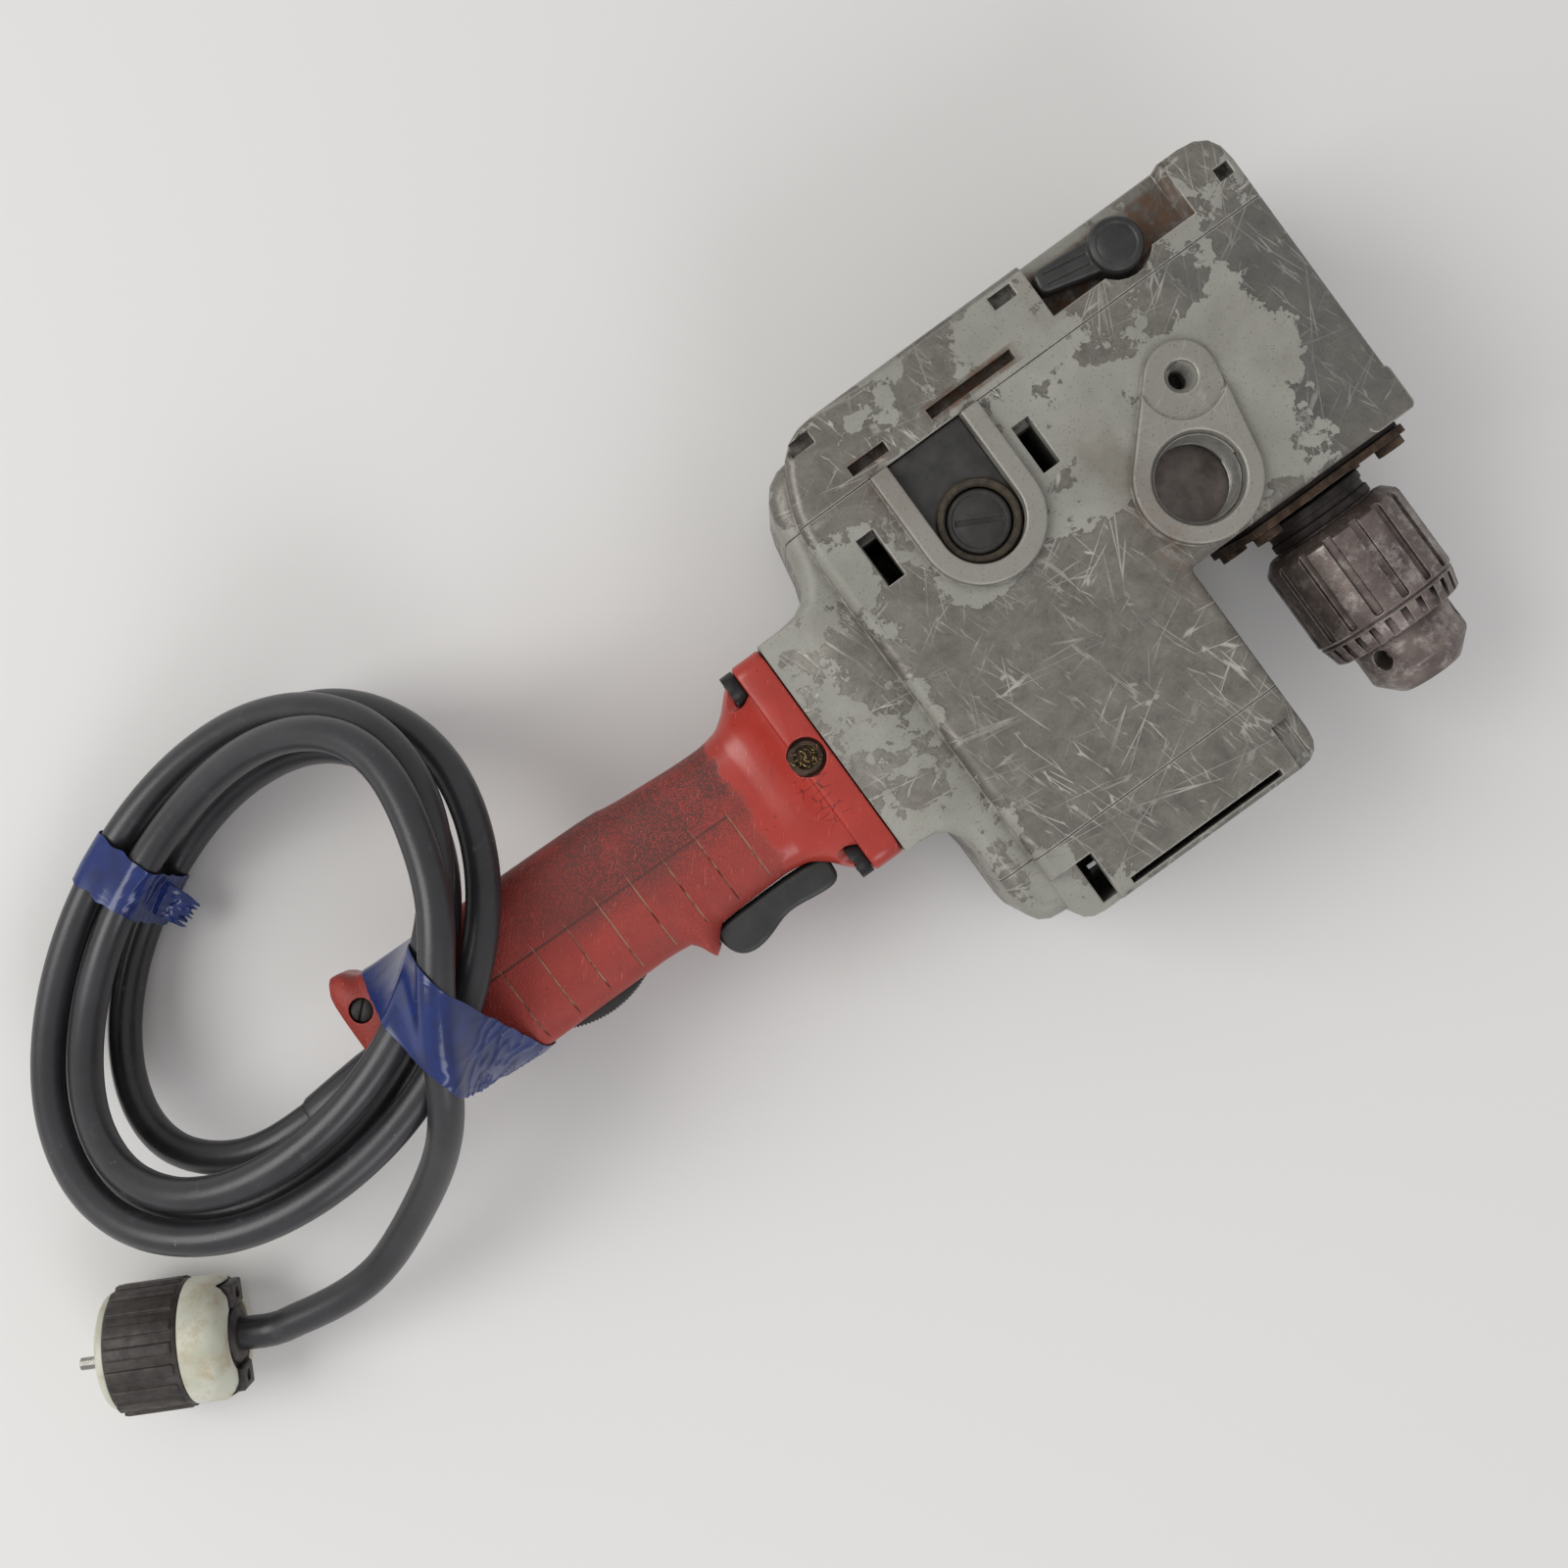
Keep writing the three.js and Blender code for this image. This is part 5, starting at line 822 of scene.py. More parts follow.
def makeRingTree():
    tree, source = startTree("barRing", ringSizes)
    ring = add(tree, "GeometryNodeMeshCircle", source.outputs["count"], source.outputs["radius"])
    size = add(tree, "ShaderNodeCombineXYZ", source.outputs["depth"], source.outputs["width"],
               source.outputs["length"])
    bar = add(tree, "GeometryNodeMeshCube", size, 2, 2, 2)
    number = add(tree, "GeometryNodeInputIndex")
    step = add(tree, "DIVIDE", 2 * math.pi, source.outputs["count"])
    angle = add(tree, "MULTIPLY", number, step)
    turn = add(tree, "ShaderNodeCombineXYZ", 0.0, 0.0, angle)
    bars = add(tree, "GeometryNodeInstanceOnPoints", named={
        "Points": ring.outputs[0], "Instance": bar.outputs[0], "Rotation": turn.outputs[0]})
    return finishTree(tree, source, bars)


# Slotted screw heads on a few points, each turned its own way
screwSizes = {"radius": 0.0063, "height": 0.005, "slot": 0.0016, "seed": 5}


def makeScrewTree():
    tree, source = startTree("slottedScrews", screwSizes)
    head = add(tree, "GeometryNodeMeshCylinder", 40, 1, 1, source.outputs["radius"],
               source.outputs["height"])
    double = add(tree, "MULTIPLY", source.outputs["radius"], 3.0)
    size = add(tree, "ShaderNodeCombineXYZ", double, source.outputs["slot"],
               source.outputs["slot"])
    cutter = add(tree, "GeometryNodeMeshCube", size, 2, 2, 2)
    lift = add(tree, "MULTIPLY", source.outputs["height"], 0.5)
    cutter = add(tree, "GeometryNodeTransform", named={
        "Geometry": cutter.outputs[0],
        "Translation": add(tree, "ShaderNodeCombineXYZ", 0.0, 0.0, lift).outputs[0]})
    slotted = add(tree, "GeometryNodeMeshBoolean", operation="DIFFERENCE", named={
        "Mesh 1": head.outputs[0], "Mesh 2": cutter.outputs[0]})
    spin = add(tree, "FunctionNodeRandomValue", data_type="FLOAT", named={
        "Seed": source.outputs["seed"]})
    spin = add(tree, "MULTIPLY", spin.outputs[1], math.pi)
    turn = add(tree, "ShaderNodeCombineXYZ", 0.0, 0.0, spin)
    heads = add(tree, "GeometryNodeInstanceOnPoints", named={
        "Points": source.outputs["Geometry"], "Instance": slotted.outputs[0],
        "Rotation": turn.outputs[0]})
    return finishTree(tree, source, heads)


threadTree, ringTree, screwTree = makeThreadTree(), makeRingTree(), makeScrewTree()
print("stage: node trees")

# Castings: merged copies of the CAD castings, with round bosses in place of faceted ones
sides = ((1, "Upper"), (-1, "Lower"))
bossSizes = {
    "face": 52.01, "root": 50, "top": 56, "over": 58, "lobeDrop": 1.5,
    "slabLow": (-5, -80), "slabHigh": (240, 68.5),
    "brush": (88, 34), "brushOuter": 23, "brushInner": 15.7, "brushFloor": 41,
    "seam": 67.8, "wellEnd": 69.8,
    "socket": (157, 1), "socketOuter": 22.8, "lock": (173, 33), "lockOuter": 13,
    "socketBore": [(0, 31), (15.9, 31), (15.9, 54.4), (17.2, 56.4), (0, 56.4)],
    "lockBore": [(0, 36), (4.1, 36), (4.1, 52), (6.6, 55.2), (0, 55.2)],
    "lockNotch": [(0, 53), (14.9, 53), (16.1, 58), (0, 58)],
    "cornerLow": (216, -23), "cornerHigh": (234, -5), "cornerRound": 2.5,
    "cornerHeights": (-49.5, 51.9),
    "socketThreadFrom": 38, "lockThreadFrom": 38.5,
    "socketSteel": [(0, 31.3), (15.7, 31.3), (15.7, 32.1), (0, 32.1)],
}


def bevelled(piece, width, segments=3, angle=40):
    change = piece.modifiers.new("edge", "BEVEL")
    change.width = width * mm
    change.segments = segments
    change.limit_method = "ANGLE"
    change.angle_limit = math.radians(angle)
    return settle(piece)


# Smooth shading that keeps flat faces flat
def evenNormals(piece, angle=32):
    smooth(piece.data, angle)
    even = piece.modifiers.new("even", "WEIGHTED_NORMAL")
    even.keep_sharp = True
    return settle(piece)


# The outline round two circles of different radius
def pearOutline(a, ra, b, rb):
    way = math.degrees(math.atan2(b[1] - a[1], b[0] - a[0]))
    lean = math.degrees(math.acos((ra - rb) / math.dist(a, b)))
    return (circle(*a, ra, 72, way + lean, way + 360 - lean, False)
            + circle(*b, rb, 36, way - lean, way + lean, False))


def boss(side, outline, low, high, edge):
    return bevelled(postPiece("boss", outline, *sorted((side * low, side * high))), edge)


def bore(side, place, profile):
    return turnedPiece("bore", profile, (*place, 0), (0, 0, side), 72, (1, 0, 0))


def makeHousing():
    b = bossSizes
    housing = copyOf("motorHousing", "motor_housing")
    slabs = [boxPiece("slab", (*b["slabLow"], side * b["over"]), (*b["slabHigh"], side * b["face"]))
             for side, _ in sides]
    combine(housing, slabs, "DIFFERENCE")
    outer = circle(*b["brush"], b["brushOuter"], 48, 180, 360, False)
    inner = circle(*b["brush"], b["brushInner"], 48, 180, 360, False)
    x, wide, narrow = b["brush"][0], b["brushOuter"], b["brushInner"]
    saddle = [(x - wide, b["seam"])] + outer + [(x + wide, b["seam"]), (x + narrow, b["seam"])]
    saddle += inner[::-1] + [(x - narrow, b["seam"])]
    well = [(x - narrow, b["wellEnd"])] + inner + [(x + narrow, b["wellEnd"])]
    pear = pearOutline(b["socket"], b["socketOuter"], b["lock"], b["lockOuter"])
    added, cut = [], []
    for side, _ in sides:
        added.append(boss(side, saddle, b["root"], b["top"], 0.7))
        added.append(boss(side, pear, b["root"], b["top"] - b["lobeDrop"], 0.8))
        ring = boss(side, pear, b["root"], b["top"], 0.7)
        added.append(combine(ring, [bore(side, b["lock"], b["lockNotch"])], "DIFFERENCE"))
        cut.append(postPiece("well", well, *sorted((side * b["brushFloor"], side * b["over"]))))
        cut.append(bore(side, b["socket"], b["socketBore"]))
        cut.append(bore(side, b["lock"], b["lockBore"]))
    corner = roundedOutline(b["cornerLow"], b["cornerHigh"], b["cornerRound"])
    added.append(postPiece("corner", corner, *b["cornerHeights"]))
    combine(housing, added, "UNION")
    return combine(housing, cut, "DIFFERENCE")


castings = {"motor_housing": makeHousing(), "back_cover": copyOf("backCover", "back_cover"),
            "motor_end_cap": copyOf("motorEndCap", "motor_end_cap")}
for node, piece in castings.items():
    hand(evenNormals(piece), "root", "chippedEnamel", (node,), None)
print("stage: castings")


# Threads of a side handle's socket and of its lock screw, and the socket's steel floor
def makeThreads(side, where):
    b = bossSizes
    place = aimed((*b["socket"], side * b["socketThreadFrom"]), (0, 0, side))
    thread = grown("socketThread" + where, threadTree, socketThread, "cutAluminium", place)
    hand(thread, "root", "cutAluminium")
    floorDisc = turnedPiece("socketFloor" + where, b["socketSteel"], (*b["socket"], 0), (0, 0, side),
                            64, (1, 0, 0))
    hand(floorDisc, "root", "oiledSteel")
    place = aimed((*b["lock"], side * b["lockThreadFrom"]), (0, 0, side))
    thread = grown("lockThread" + where, threadTree, lockThread, "cutAluminium", place)
    hand(thread, "root", "cutAluminium")


for side, where in sides:
    makeThreads(side, where)
print("stage: threads")

# Handle: a loft of rounded oblong sections with a flange, opened for the trigger and the lever.
# A section is its place as a share of the length, and its top, bottom and height as shares
handleSizes = {
    "length": 202, "top": 33, "bottom": 26.5, "half": 21, "wall": 3, "flangeHalf": 44.5,
    "flangeThick": 12.5, "neckHalf": 35, "round": 6, "power": 0.5, "points": 96,
    "sections": [
        (1.000, 1.12, -0.70, 0.74), (0.985, 1.24, -0.80, 0.86), (0.965, 1.22, -0.84, 0.94),
        (0.940, 1.09, -0.87, 0.98), (0.880, 1.06, -0.93, 1.00), (0.700, 1.05, -1.02, 1.00),
        (0.480, 1.02, -1.02, 1.00), (0.415, 1.00, -1.06, 1.00), (0.400, 0.98, -1.20, 1.00),
        (0.388, 0.97, -1.40, 1.00), (0.376, 0.96, -1.34, 1.00), (0.340, 0.94, -1.08, 1.00),
        (0.200, 0.89, -1.05, 1.00), (0.155, 0.93, -1.10, 1.02), (0.125, 1.04, -1.24, 1.10),
        (0.100, 1.19, -1.45, 1.24), (0.078, 1.31, -1.60, 1.42), (0.060, 1.36, -1.66, 1.56),
        (0.050, 1.37, -1.67, 1.58)],
    "lineFirst": -44.6, "lineStep": 14.25, "lineCount": 8, "lineWide": 0.5, "lineDeep": 0.5,
    "lineLow": -24, "lineHigh": 2,
    "flangeHole": ((-14, -24, -20), (3, 30, 20)), "triggerSlot": ((-75, -60, -11.6), (-22, -20, 11.6)),
    "leverSlot": ((-143.5, -40, -4.4), (-98.5, -18, 4.4)), "seam": ((-215, -60, -0.15), (5, 60, 0.15)),
    "screwY": 38, "screwZ": 25, "screwPocket": [(0, 12.4), (6.9, 12.4), (6.9, 60), (0, 60)],
    "centre": (-9, 3, 0), "centrePocket": [(0, 30), (7.2, 30), (7.2, 34), (8.0, 37.2), (0, 37.2)],
    "pommel": (-194, 24, 0), "pommelPocket": [(0, 14.7), (4.8, 14.7), (4.8, 26), (0, 26)],
    "cordY": 3, "cordHole": [(0, 185), (7.3, 185), (7.3, 206), (0, 206)],
}


# A curve through the table's values, evened with a monotone cubic
def sectionAt(share):
    table = handleSizes["sections"]
    for i in range(len(table) - 1):
        a, b = table[i], table[i + 1]
        if a[0] >= share >= b[0]:
            width = a[0] - b[0]
            step = (a[0] - share) / width
            before, after = table[max(i - 1, 0)], table[min(i + 2, len(table) - 1)]
            values = []
            for k in (1, 2, 3):
                slope = (b[k] - a[k]) / width
                slopeA = (a[k] - before[k]) / max(before[0] - a[0], 1e-6) if i else slope
                slopeB = (after[k] - b[k]) / max(b[0] - after[0], 1e-6) if i < len(table) - 2 else slope
                tangentA = 0 if slope * slopeA <= 0 else 2 * slope * slopeA / (slope + slopeA)
                tangentB = 0 if slope * slopeB <= 0 else 2 * slope * slopeB / (slope + slopeB)
                s2, s3 = step * step, step ** 3
                values.append(a[k] * (2 * s3 - 3 * s2 + 1) + b[k] * (3 * s2 - 2 * s3)
                              + width * (tangentA * (s3 - 2 * s2 + step) + tangentB * (s3 - s2)))
            return values
    return list(table[-1][1:])


# Middle, half width and half height of the grip at a share of its length
def gripSection(share):
    h = handleSizes
    top, bottom, height = sectionAt(share)
    top, bottom = top * h["top"], bottom * h["bottom"]
    return (top + bottom) / 2, (top - bottom) / 2, height * h["half"]


def signedPower(value, power):
    return math.copysign(abs(value) ** power, value)


# Places of the grip's rings: an even row, the table's own places and the edges of the moulded lines
def gripStations():
    h = handleSizes
    shares = [1.0 - 0.95 * i / 110 for i in range(111)]
    shares += [row[0] for row in h["sections"]]
    for k in range(h["lineCount"]):
        centre = (h["lineFirst"] - k * h["lineStep"]) / -h["length"]
        for offset in (-0.6, -0.42, 0.42, 0.6):
            shares.append(centre + offset * h["lineWide"] / h["length"])
    return sorted(set(round(s, 6) for s in shares), reverse=True)


def gripLoft(name, inset, stations, grooves):
    h = handleSizes
    count = h["points"]
    points, marks = [], []
    for share in stations:
        centre, half, height = gripSection(share)
        x = -share * h["length"]
        nearest = round((h["lineFirst"] - x) / h["lineStep"])
        lineX = h["lineFirst"] - nearest * h["lineStep"]
        inLine = grooves and 0 <= nearest < h["lineCount"] and abs(x - lineX) < h["lineWide"] / 2
        for k in range(count):
            angle = 2 * math.pi * (k + 0.5) / count
            y = centre + (half - inset) * signedPower(math.cos(angle), h["power"])
            z = (height - inset) * signedPower(math.sin(angle), h["power"])
            mark = 1.0 if inLine and h["lineLow"] < y < h["lineHigh"] and abs(z) > 8 else 0.0
            depth = mark * h["lineDeep"]
            points.append((x, y + depth * (0.5 if y < -20 else 0), z - math.copysign(depth, z)))
            marks.append(mark)
    faces = ringFaces(len(stations), count) + endFaces(len(stations), count)
    mesh = meshOf(name, points, faces)
    layer = mesh.attributes.new("mouldedLine", "FLOAT", "POINT")
    layer.data.foreach_set("value", marks)
    return looseObject(name, outward(mesh))


# A slab from x0 to x1 with a rounded outline in Y and Z and worn edges
def slabAlongX(name, outlineYZ, x0, x1, edge):
    count = len(outlineYZ)
    cy = sum(p[0] for p in outlineYZ) / count
    cz = sum(p[1] for p in outlineYZ) / count
    soft = edge * 0.3
    rings = [(x0, edge), (x0 + soft, soft), (x0 + edge, 0), (x1 - edge, 0), (x1 - soft, soft), (x1, edge)]
    points = []
    for x, inset in rings:
        for y, z in outlineYZ:
            away = Vector((y - cy, z - cz))
            points.append((x, y - math.copysign(min(inset, abs(away.x)), away.x),
                           z - math.copysign(min(inset, abs(away.y)), away.y)))
    faces = ringFaces(len(rings), count) + endFaces(len(rings), count)
    return looseObject(name, outward(meshOf(name, points, faces)))


def makeHandle():
    h = handleSizes
    stations = gripStations()
    grip = gripLoft("handle", 0, stations, True)
    outline = roundedOutline((-h["flangeHalf"], -h["neckHalf"]), (h["flangeHalf"], h["neckHalf"]),
                             h["round"])
    combine(grip, [slabAlongX("flange", outline, -h["flangeThick"], -0.3, 1.2)], "UNION")
    cutters = [gripLoft("hollow", h["wall"], [s for s in stations if 0.05 < s < 0.93][::4], False)]
    cutters += [boxPiece(name, *h[name]) for name in ("flangeHole", "triggerSlot", "leverSlot")]
    cutters += [turnedPiece("pocket", h["screwPocket"], (0, j * h["screwY"], k * h["screwZ"]),
                            (-1, 0, 0), 32) for j in (-1, 1) for k in (-1, 1)]
    for side in (-1, 1):
        cutters.append(turnedPiece("centrePocket", h["centrePocket"], h["centre"], (0, 0, side), 40,
                                   (1, 0, 0)))
        cutters.append(turnedPiece("pommelPocket", h["pommelPocket"], h["pommel"], (0, 0, side), 32,
                                   (1, 0, 0)))
    cutters.append(turnedPiece("cordHole", h["cordHole"], (0, h["cordY"], 0), (-1, 0, 0), 32))
    cutters.append(boxPiece("seam", *h["seam"]))
    return combine(grip, cutters, "DIFFERENCE")


hand(makeHandle(), "root", "redNylon", ("handle_upper_half", "handle_lower_half"), 40)
print("stage: handle")

# Cord and its tapered protector
protectorProfile = [(0, -5.3), (7.0, -5.3), (7.0, 0.3), (9.2, 0.3), (9.5, 1.2), (9.4, 8), (8.7, 18),
                    (7.5, 32.4), (6.8, 34), (0, 34)]
hand(cord, "root", "cableRubber", ("cord_lead", "cord_coil", "cord_tail"))
protector = turnedPiece("cordProtector", protectorProfile,
                        (-handleSizes["length"], handleSizes["cordY"], 0), (-1, 0, 0), 48)
hand(protector, "root", "cableRubber", ("cord_protector",))
print("stage: cord placed")

# Chuck: a turned body with its bores, and a sleeve that is fluted and toothed for the key
chuckSizes = {
    "x": 199.5, "nose": 109, "keyY": 93, "keyAngle": 53,
    "jawTilt": 15, "jawRadius": 4.8, "jawLength": 66.5, "jawOut": 2.25, "jawBack": 2,
    "bore": [(0, 70), (7.3, 70), (7.3, 110), (0, 110)],
    "spindleBore": [(0, 28), (8.4, 28), (8.4, 45.4), (0, 45.4)],
    "keyHole": [(0, 11), (3.7, 11), (3.7, 19.2), (4.5, 20.5), (0, 20.5)],
    "collar": [(8.4, 30), (19.9, 30), (20.6, 30.7), (20.6, 33.4), (19.7, 34), (19.7, 36), (20.6, 36.6),
               (20.6, 39.5), (8.4, 39.5), (8.4, 30)],
    "body": [(0, 39.7), (20, 39.7), (20, 100.4), (19.4, 101.8), (13.4, 107.9), (12, 109), (0, 109)],
    "sleeve": [(20.4, 40.6), (23.6, 40.6), (24.4, 40.9), (28.0, 44.4), (28.5, 45.8), (28.5, 77.6),
               (28.1, 78.2), (27.3, 78.5), (27.6, 79.0), (27.9, 79.4), (26.0, 86.6), (25.2, 87.2),
               (20.4, 87.2), (20.4, 79), (25.2, 74), (25.2, 43.7), (20.4, 43.4), (20.4, 40.6)],
    "flutesY": -60.4, "flutes": ringSizes,
    "teethY": -87,
    "teeth": {"count": 26, "radius": 0.0282, "width": 0.0027, "depth": 0.0056, "length": 0.014},
}


def makeChuckBody():
    c = chuckSizes
    axis, forwards = (c["x"], 0, 0), (0, -1, 0)
    body = turnedPiece("chuckBody", c["body"], axis, forwards, 96)
    cutters = [turnedPiece("bore", c[name], axis, forwards, 48) for name in ("bore", "spindleBore")]
    lean = math.radians(c["jawTilt"])
    jaw = [(0, 0), (c["jawRadius"], 0), (c["jawRadius"], c["jawLength"]), (0, c["jawLength"])]
    for i in range(3):
        turn = math.radians(120 * i - c["keyAngle"])
        out = Vector((math.sin(turn), 0, math.cos(turn)))
        cutters.append(turnedPiece("key", c["keyHole"], (c["x"], -c["keyY"], 0), out, 36, (0, 1, 0)))
        turn = math.radians(150 + 120 * i - c["keyAngle"])
        out = Vector((math.cos(turn), 0, -math.sin(turn)))
        way = out * math.sin(lean) + Vector((0, 1, 0)) * math.cos(lean)
        start = Vector((c["x"], -c["nose"], 0)) + out * c["jawOut"] - way * c["jawBack"]
        cutters.append(turnedPiece("jaw", jaw, start, way, 32, out.cross(way)))
    return combine(body, cutters, "DIFFERENCE")


def makeChuckSleeve():
    c = chuckSizes
    sleeve = turnedPiece("chuckSleeve", c["sleeve"], (c["x"], 0, 0), (0, -1, 0), 160)
    flutes = grown("flutes", ringTree, c["flutes"], "brownedSteel",
                   aimed((c["x"], c["flutesY"], 0), (0, -1, 0)))
    teeth = grown("teeth", ringTree, c["teeth"], "brownedSteel",
                  aimed((c["x"], c["teethY"], 0), (0, -1, 0)))
    combine(sleeve, [bevelled(flutes, 0.9, 2), teeth], "DIFFERENCE")
    return bevelled(sleeve, 0.3, 2, 50)


hand(evenNormals(makeChuckBody()), "spindle", "brownedSteel", ("chuck_body",), None)
# The collar behind the sleeve, dark with grease and with painted shade
chuckCollar = turnedPiece("chuckCollar", chuckSizes["collar"], (chuckSizes["x"], 0, 0), (0, -1, 0), 96)
hand(chuckCollar, "spindle", "greasyShadedSteel")
hand(evenNormals(makeChuckSleeve()), "chuck_sleeve", "brownedSteel",
     ("chuck_sleeve",), None)
print("stage: chuck")

# Brush caps: slotted, each under a collar that is caked with oil and dust
capSizes = {
    "x": 88, "y": 34, "slotX": (79.5, 96.5), "slotY": (33, 35), "slotHeights": (47.6, 50),
    "slotTurn": -28,
    "cap": [(0, 42.1), (11.6, 42.1), (11.6, 48.0), (11.0, 48.7), (9.8, 48.9), (9.4, 48.3),
            (9.0, 48.5), (0, 48.7)],
    "collar": [(12.0, 49.0), (12.3, 50.6), (12.9, 51.2), (14.4, 51.2), (15.0, 50.6), (15.3, 49.4),
               (15.3, 49.0), (12.0, 49.0)],
}


def makeCap(side, where):
    c = capSizes
    centre = (c["x"], c["y"], 0)
    cap = turnedPiece("brushCap" + where, c["cap"], centre, (0, 0, side), 64, (1, 0, 0))
    heights = sorted(side * height for height in c["slotHeights"])
    slot = boxPiece("slot", *zip(c["slotX"], c["slotY"], heights))
    slot.data.transform(Matrix.Translation(spot(*centre))
                        @ Matrix.Rotation(math.radians(c["slotTurn"]), 4, "Z")
                        @ Matrix.Translation(-spot(*centre)))
    combine(cap, [slot], "DIFFERENCE")
    hand(cap, "root", "blackPhenolic", ("brush_cap_" + where.lower(),))
    collar = turnedPiece("brushCollar" + where, c["collar"], centre, (0, 0, side), 64, (1, 0, 0))
    hand(collar, "root", "grimyPhenolic")


for side, where in sides:
    makeCap(side, where)

# Shift knob: a round hub with a tapered lever that has two grooves
knobSizes = {
    "x": 182.5, "y": 83.5, "tilt": -10, "leverHeights": (40, 50.5),
    "grooveY": 1.9, "grooveHalf": 0.45, "grooveFirst": -27, "grooveLast": -10.5,
    "grooveHeights": (49.9, 52),
    "hub": [(0, 31.9), (4, 31.9), (4, 39), (9.6, 39), (10, 39.6), (10, 51.6), (9.2, 52.8),
            (7.6, 53.4), (7.0, 53.0), (6.4, 53.3), (3.0, 53.9), (0, 54)],
    "lever": [(-30.6, -2.2), (-29.7, -3.6), (-27.6, -4.4), (-9, -6.0), (0, -7.4), (0, 7.4),
              (-9, 6.0), (-27.6, 4.4), (-29.7, 3.6), (-30.6, 2.2)],
}


# An outline in the knob's own axes, turned and moved to its place
def onKnob(outline):
    turn = Matrix.Rotation(math.radians(knobSizes["tilt"]), 2)
    spots = [turn @ Vector(p) for p in outline]
    return [(knobSizes["x"] + p.x, knobSizes["y"] + p.y) for p in spots]


def makeKnob():
    k = knobSizes
    hub = turnedPiece("shiftKnob", k["hub"], (k["x"], k["y"], 0), (0, 0, 1), 64, (1, 0, 0))
    lever = bevelled(postPiece("lever", onKnob(k["lever"]), *k["leverHeights"]), 1.4)
    grooves = []
    for y in (-k["grooveY"], k["grooveY"]):
        low, high = y - k["grooveHalf"], y + k["grooveHalf"]
        line = [(k["grooveFirst"], low), (k["grooveLast"], low), (k["grooveLast"], high),
                (k["grooveFirst"], high)]
        grooves.append(postPiece("groove", onKnob(line), *k["grooveHeights"]))
    combine(lever, grooves, "DIFFERENCE")
    return combine(hub, [lever], "UNION")


hand(makeKnob(), "shift_knob", "blackNylon", ("shift_knob",))

triggerSizes = {
    "half": 11, "edge": 1.8,
    "outline": [(-24.2, -28.2), (-24.0, -36.5), (-25.2, -39.6), (-28.2, -41.0), (-34, -40.7),
                (-41, -39.6), (-46, -39.2), (-50.5, -39.9), (-55.5, -41.7), (-60, -43.0),
                (-65, -43.5), (-69.3, -42.4), (-72.4, -39.4), (-73.8, -35), (-73.9, -30.6),
                (-71.5, -28.2)],
}


# Rounds an outline by cutting its corners
def cutCorners(outline, rounds=2):
    for _ in range(rounds):
        points = []
        for (ax, ay), (bx, by) in zip(outline, outline[1:] + outline[:1]):
            points += [(ax * 0.75 + bx * 0.25, ay * 0.75 + by * 0.25),
                       (ax * 0.25 + bx * 0.75, ay * 0.25 + by * 0.75)]
        outline = points
    return outline


trigger = postPiece("trigger", cutCorners(triggerSizes["outline"]), -triggerSizes["half"],
                    triggerSizes["half"])
trigger = bevelled(trigger, triggerSizes["edge"], 4, 60)
hand(trigger, "trigger", "blackNylon", ("trigger",))

# Screws: where their heads are, which way they face, their sizes in metres and their finish
screwSets = {
    "flangeScrews": {
        "at": [(-15.3, j * 38, k * 25) for j in (-1, 1) for k in (-1, 1)], "way": (-1, 0, 0),
        "side": (0, 0, 1), "sizes": screwSizes, "finish": "blackenedSteel",
        "nodes": [f"flange_screw_{i}" for i in range(1, 5)]},
    "bearingPlateBolts": {
        "at": [(x, -30.1, z) for x in (172.5, 226.5) for z in (-27, 27)], "way": (0, -1, 0),
        "side": (0, 0, 1), "sizes": {"radius": 0.0054, "height": 0.0036, "slot": 0.0013, "seed": 8},
        "finish": "rustedSteel", "nodes": [f"bearing_plate_bolt_{i}" for i in range(1, 5)]},
    "pommelScrews": {
        "at": [(-194, 24, 16)], "way": (0, 0, 1), "side": (1, 0, 0),
        "sizes": {"radius": 0.0043, "height": 0.0024, "slot": 0.001, "seed": 2},
        "finish": "blackenedSteel", "nodes": ["pommel_screw"]},
}
for name, screw in screwSets.items():
    place = aimed((0, 0, 0), screw["way"], screw["side"])
    heads = bpy.data.meshes.new(name)
    heads.from_pydata([tuple(place.inverted() @ spot(*p)) for p in screw["at"]], [], [])
    screws = grown(name, screwTree, screw["sizes"], screw["finish"], place, heads)
    hand(bevelled(screws, 0.35, 2, 50), "root", screw["finish"], screw["nodes"])

centreScrewProfile = [(0, 28), (6.6, 28), (6.6, 31.4), (6.0, 32.0), (4.6, 32.2), (4.2, 31.2),
                      (3.4, 30.4), (0, 30.2)]
centreScrew = turnedPiece("centreScrew", centreScrewProfile, handleSizes["centre"], (0, 0, 1), 40,
                          (1, 0, 0))
hand(centreScrew, "root", "rustedSteel", ("centre_screw",))

# Swarf: curled brass chips that have packed into the centre screw's head
swarfSizes = {"density": 400000.0, "turns": 0.45, "firstRadius": 0.0016, "lastRadius": 0.0012,
              "rise": 0.0008, "thick": 0.00022, "spin": 6.28, "seed": 11}
swarfBed = {"radius": 0.0052, "sides": 12, "height": 32.0}


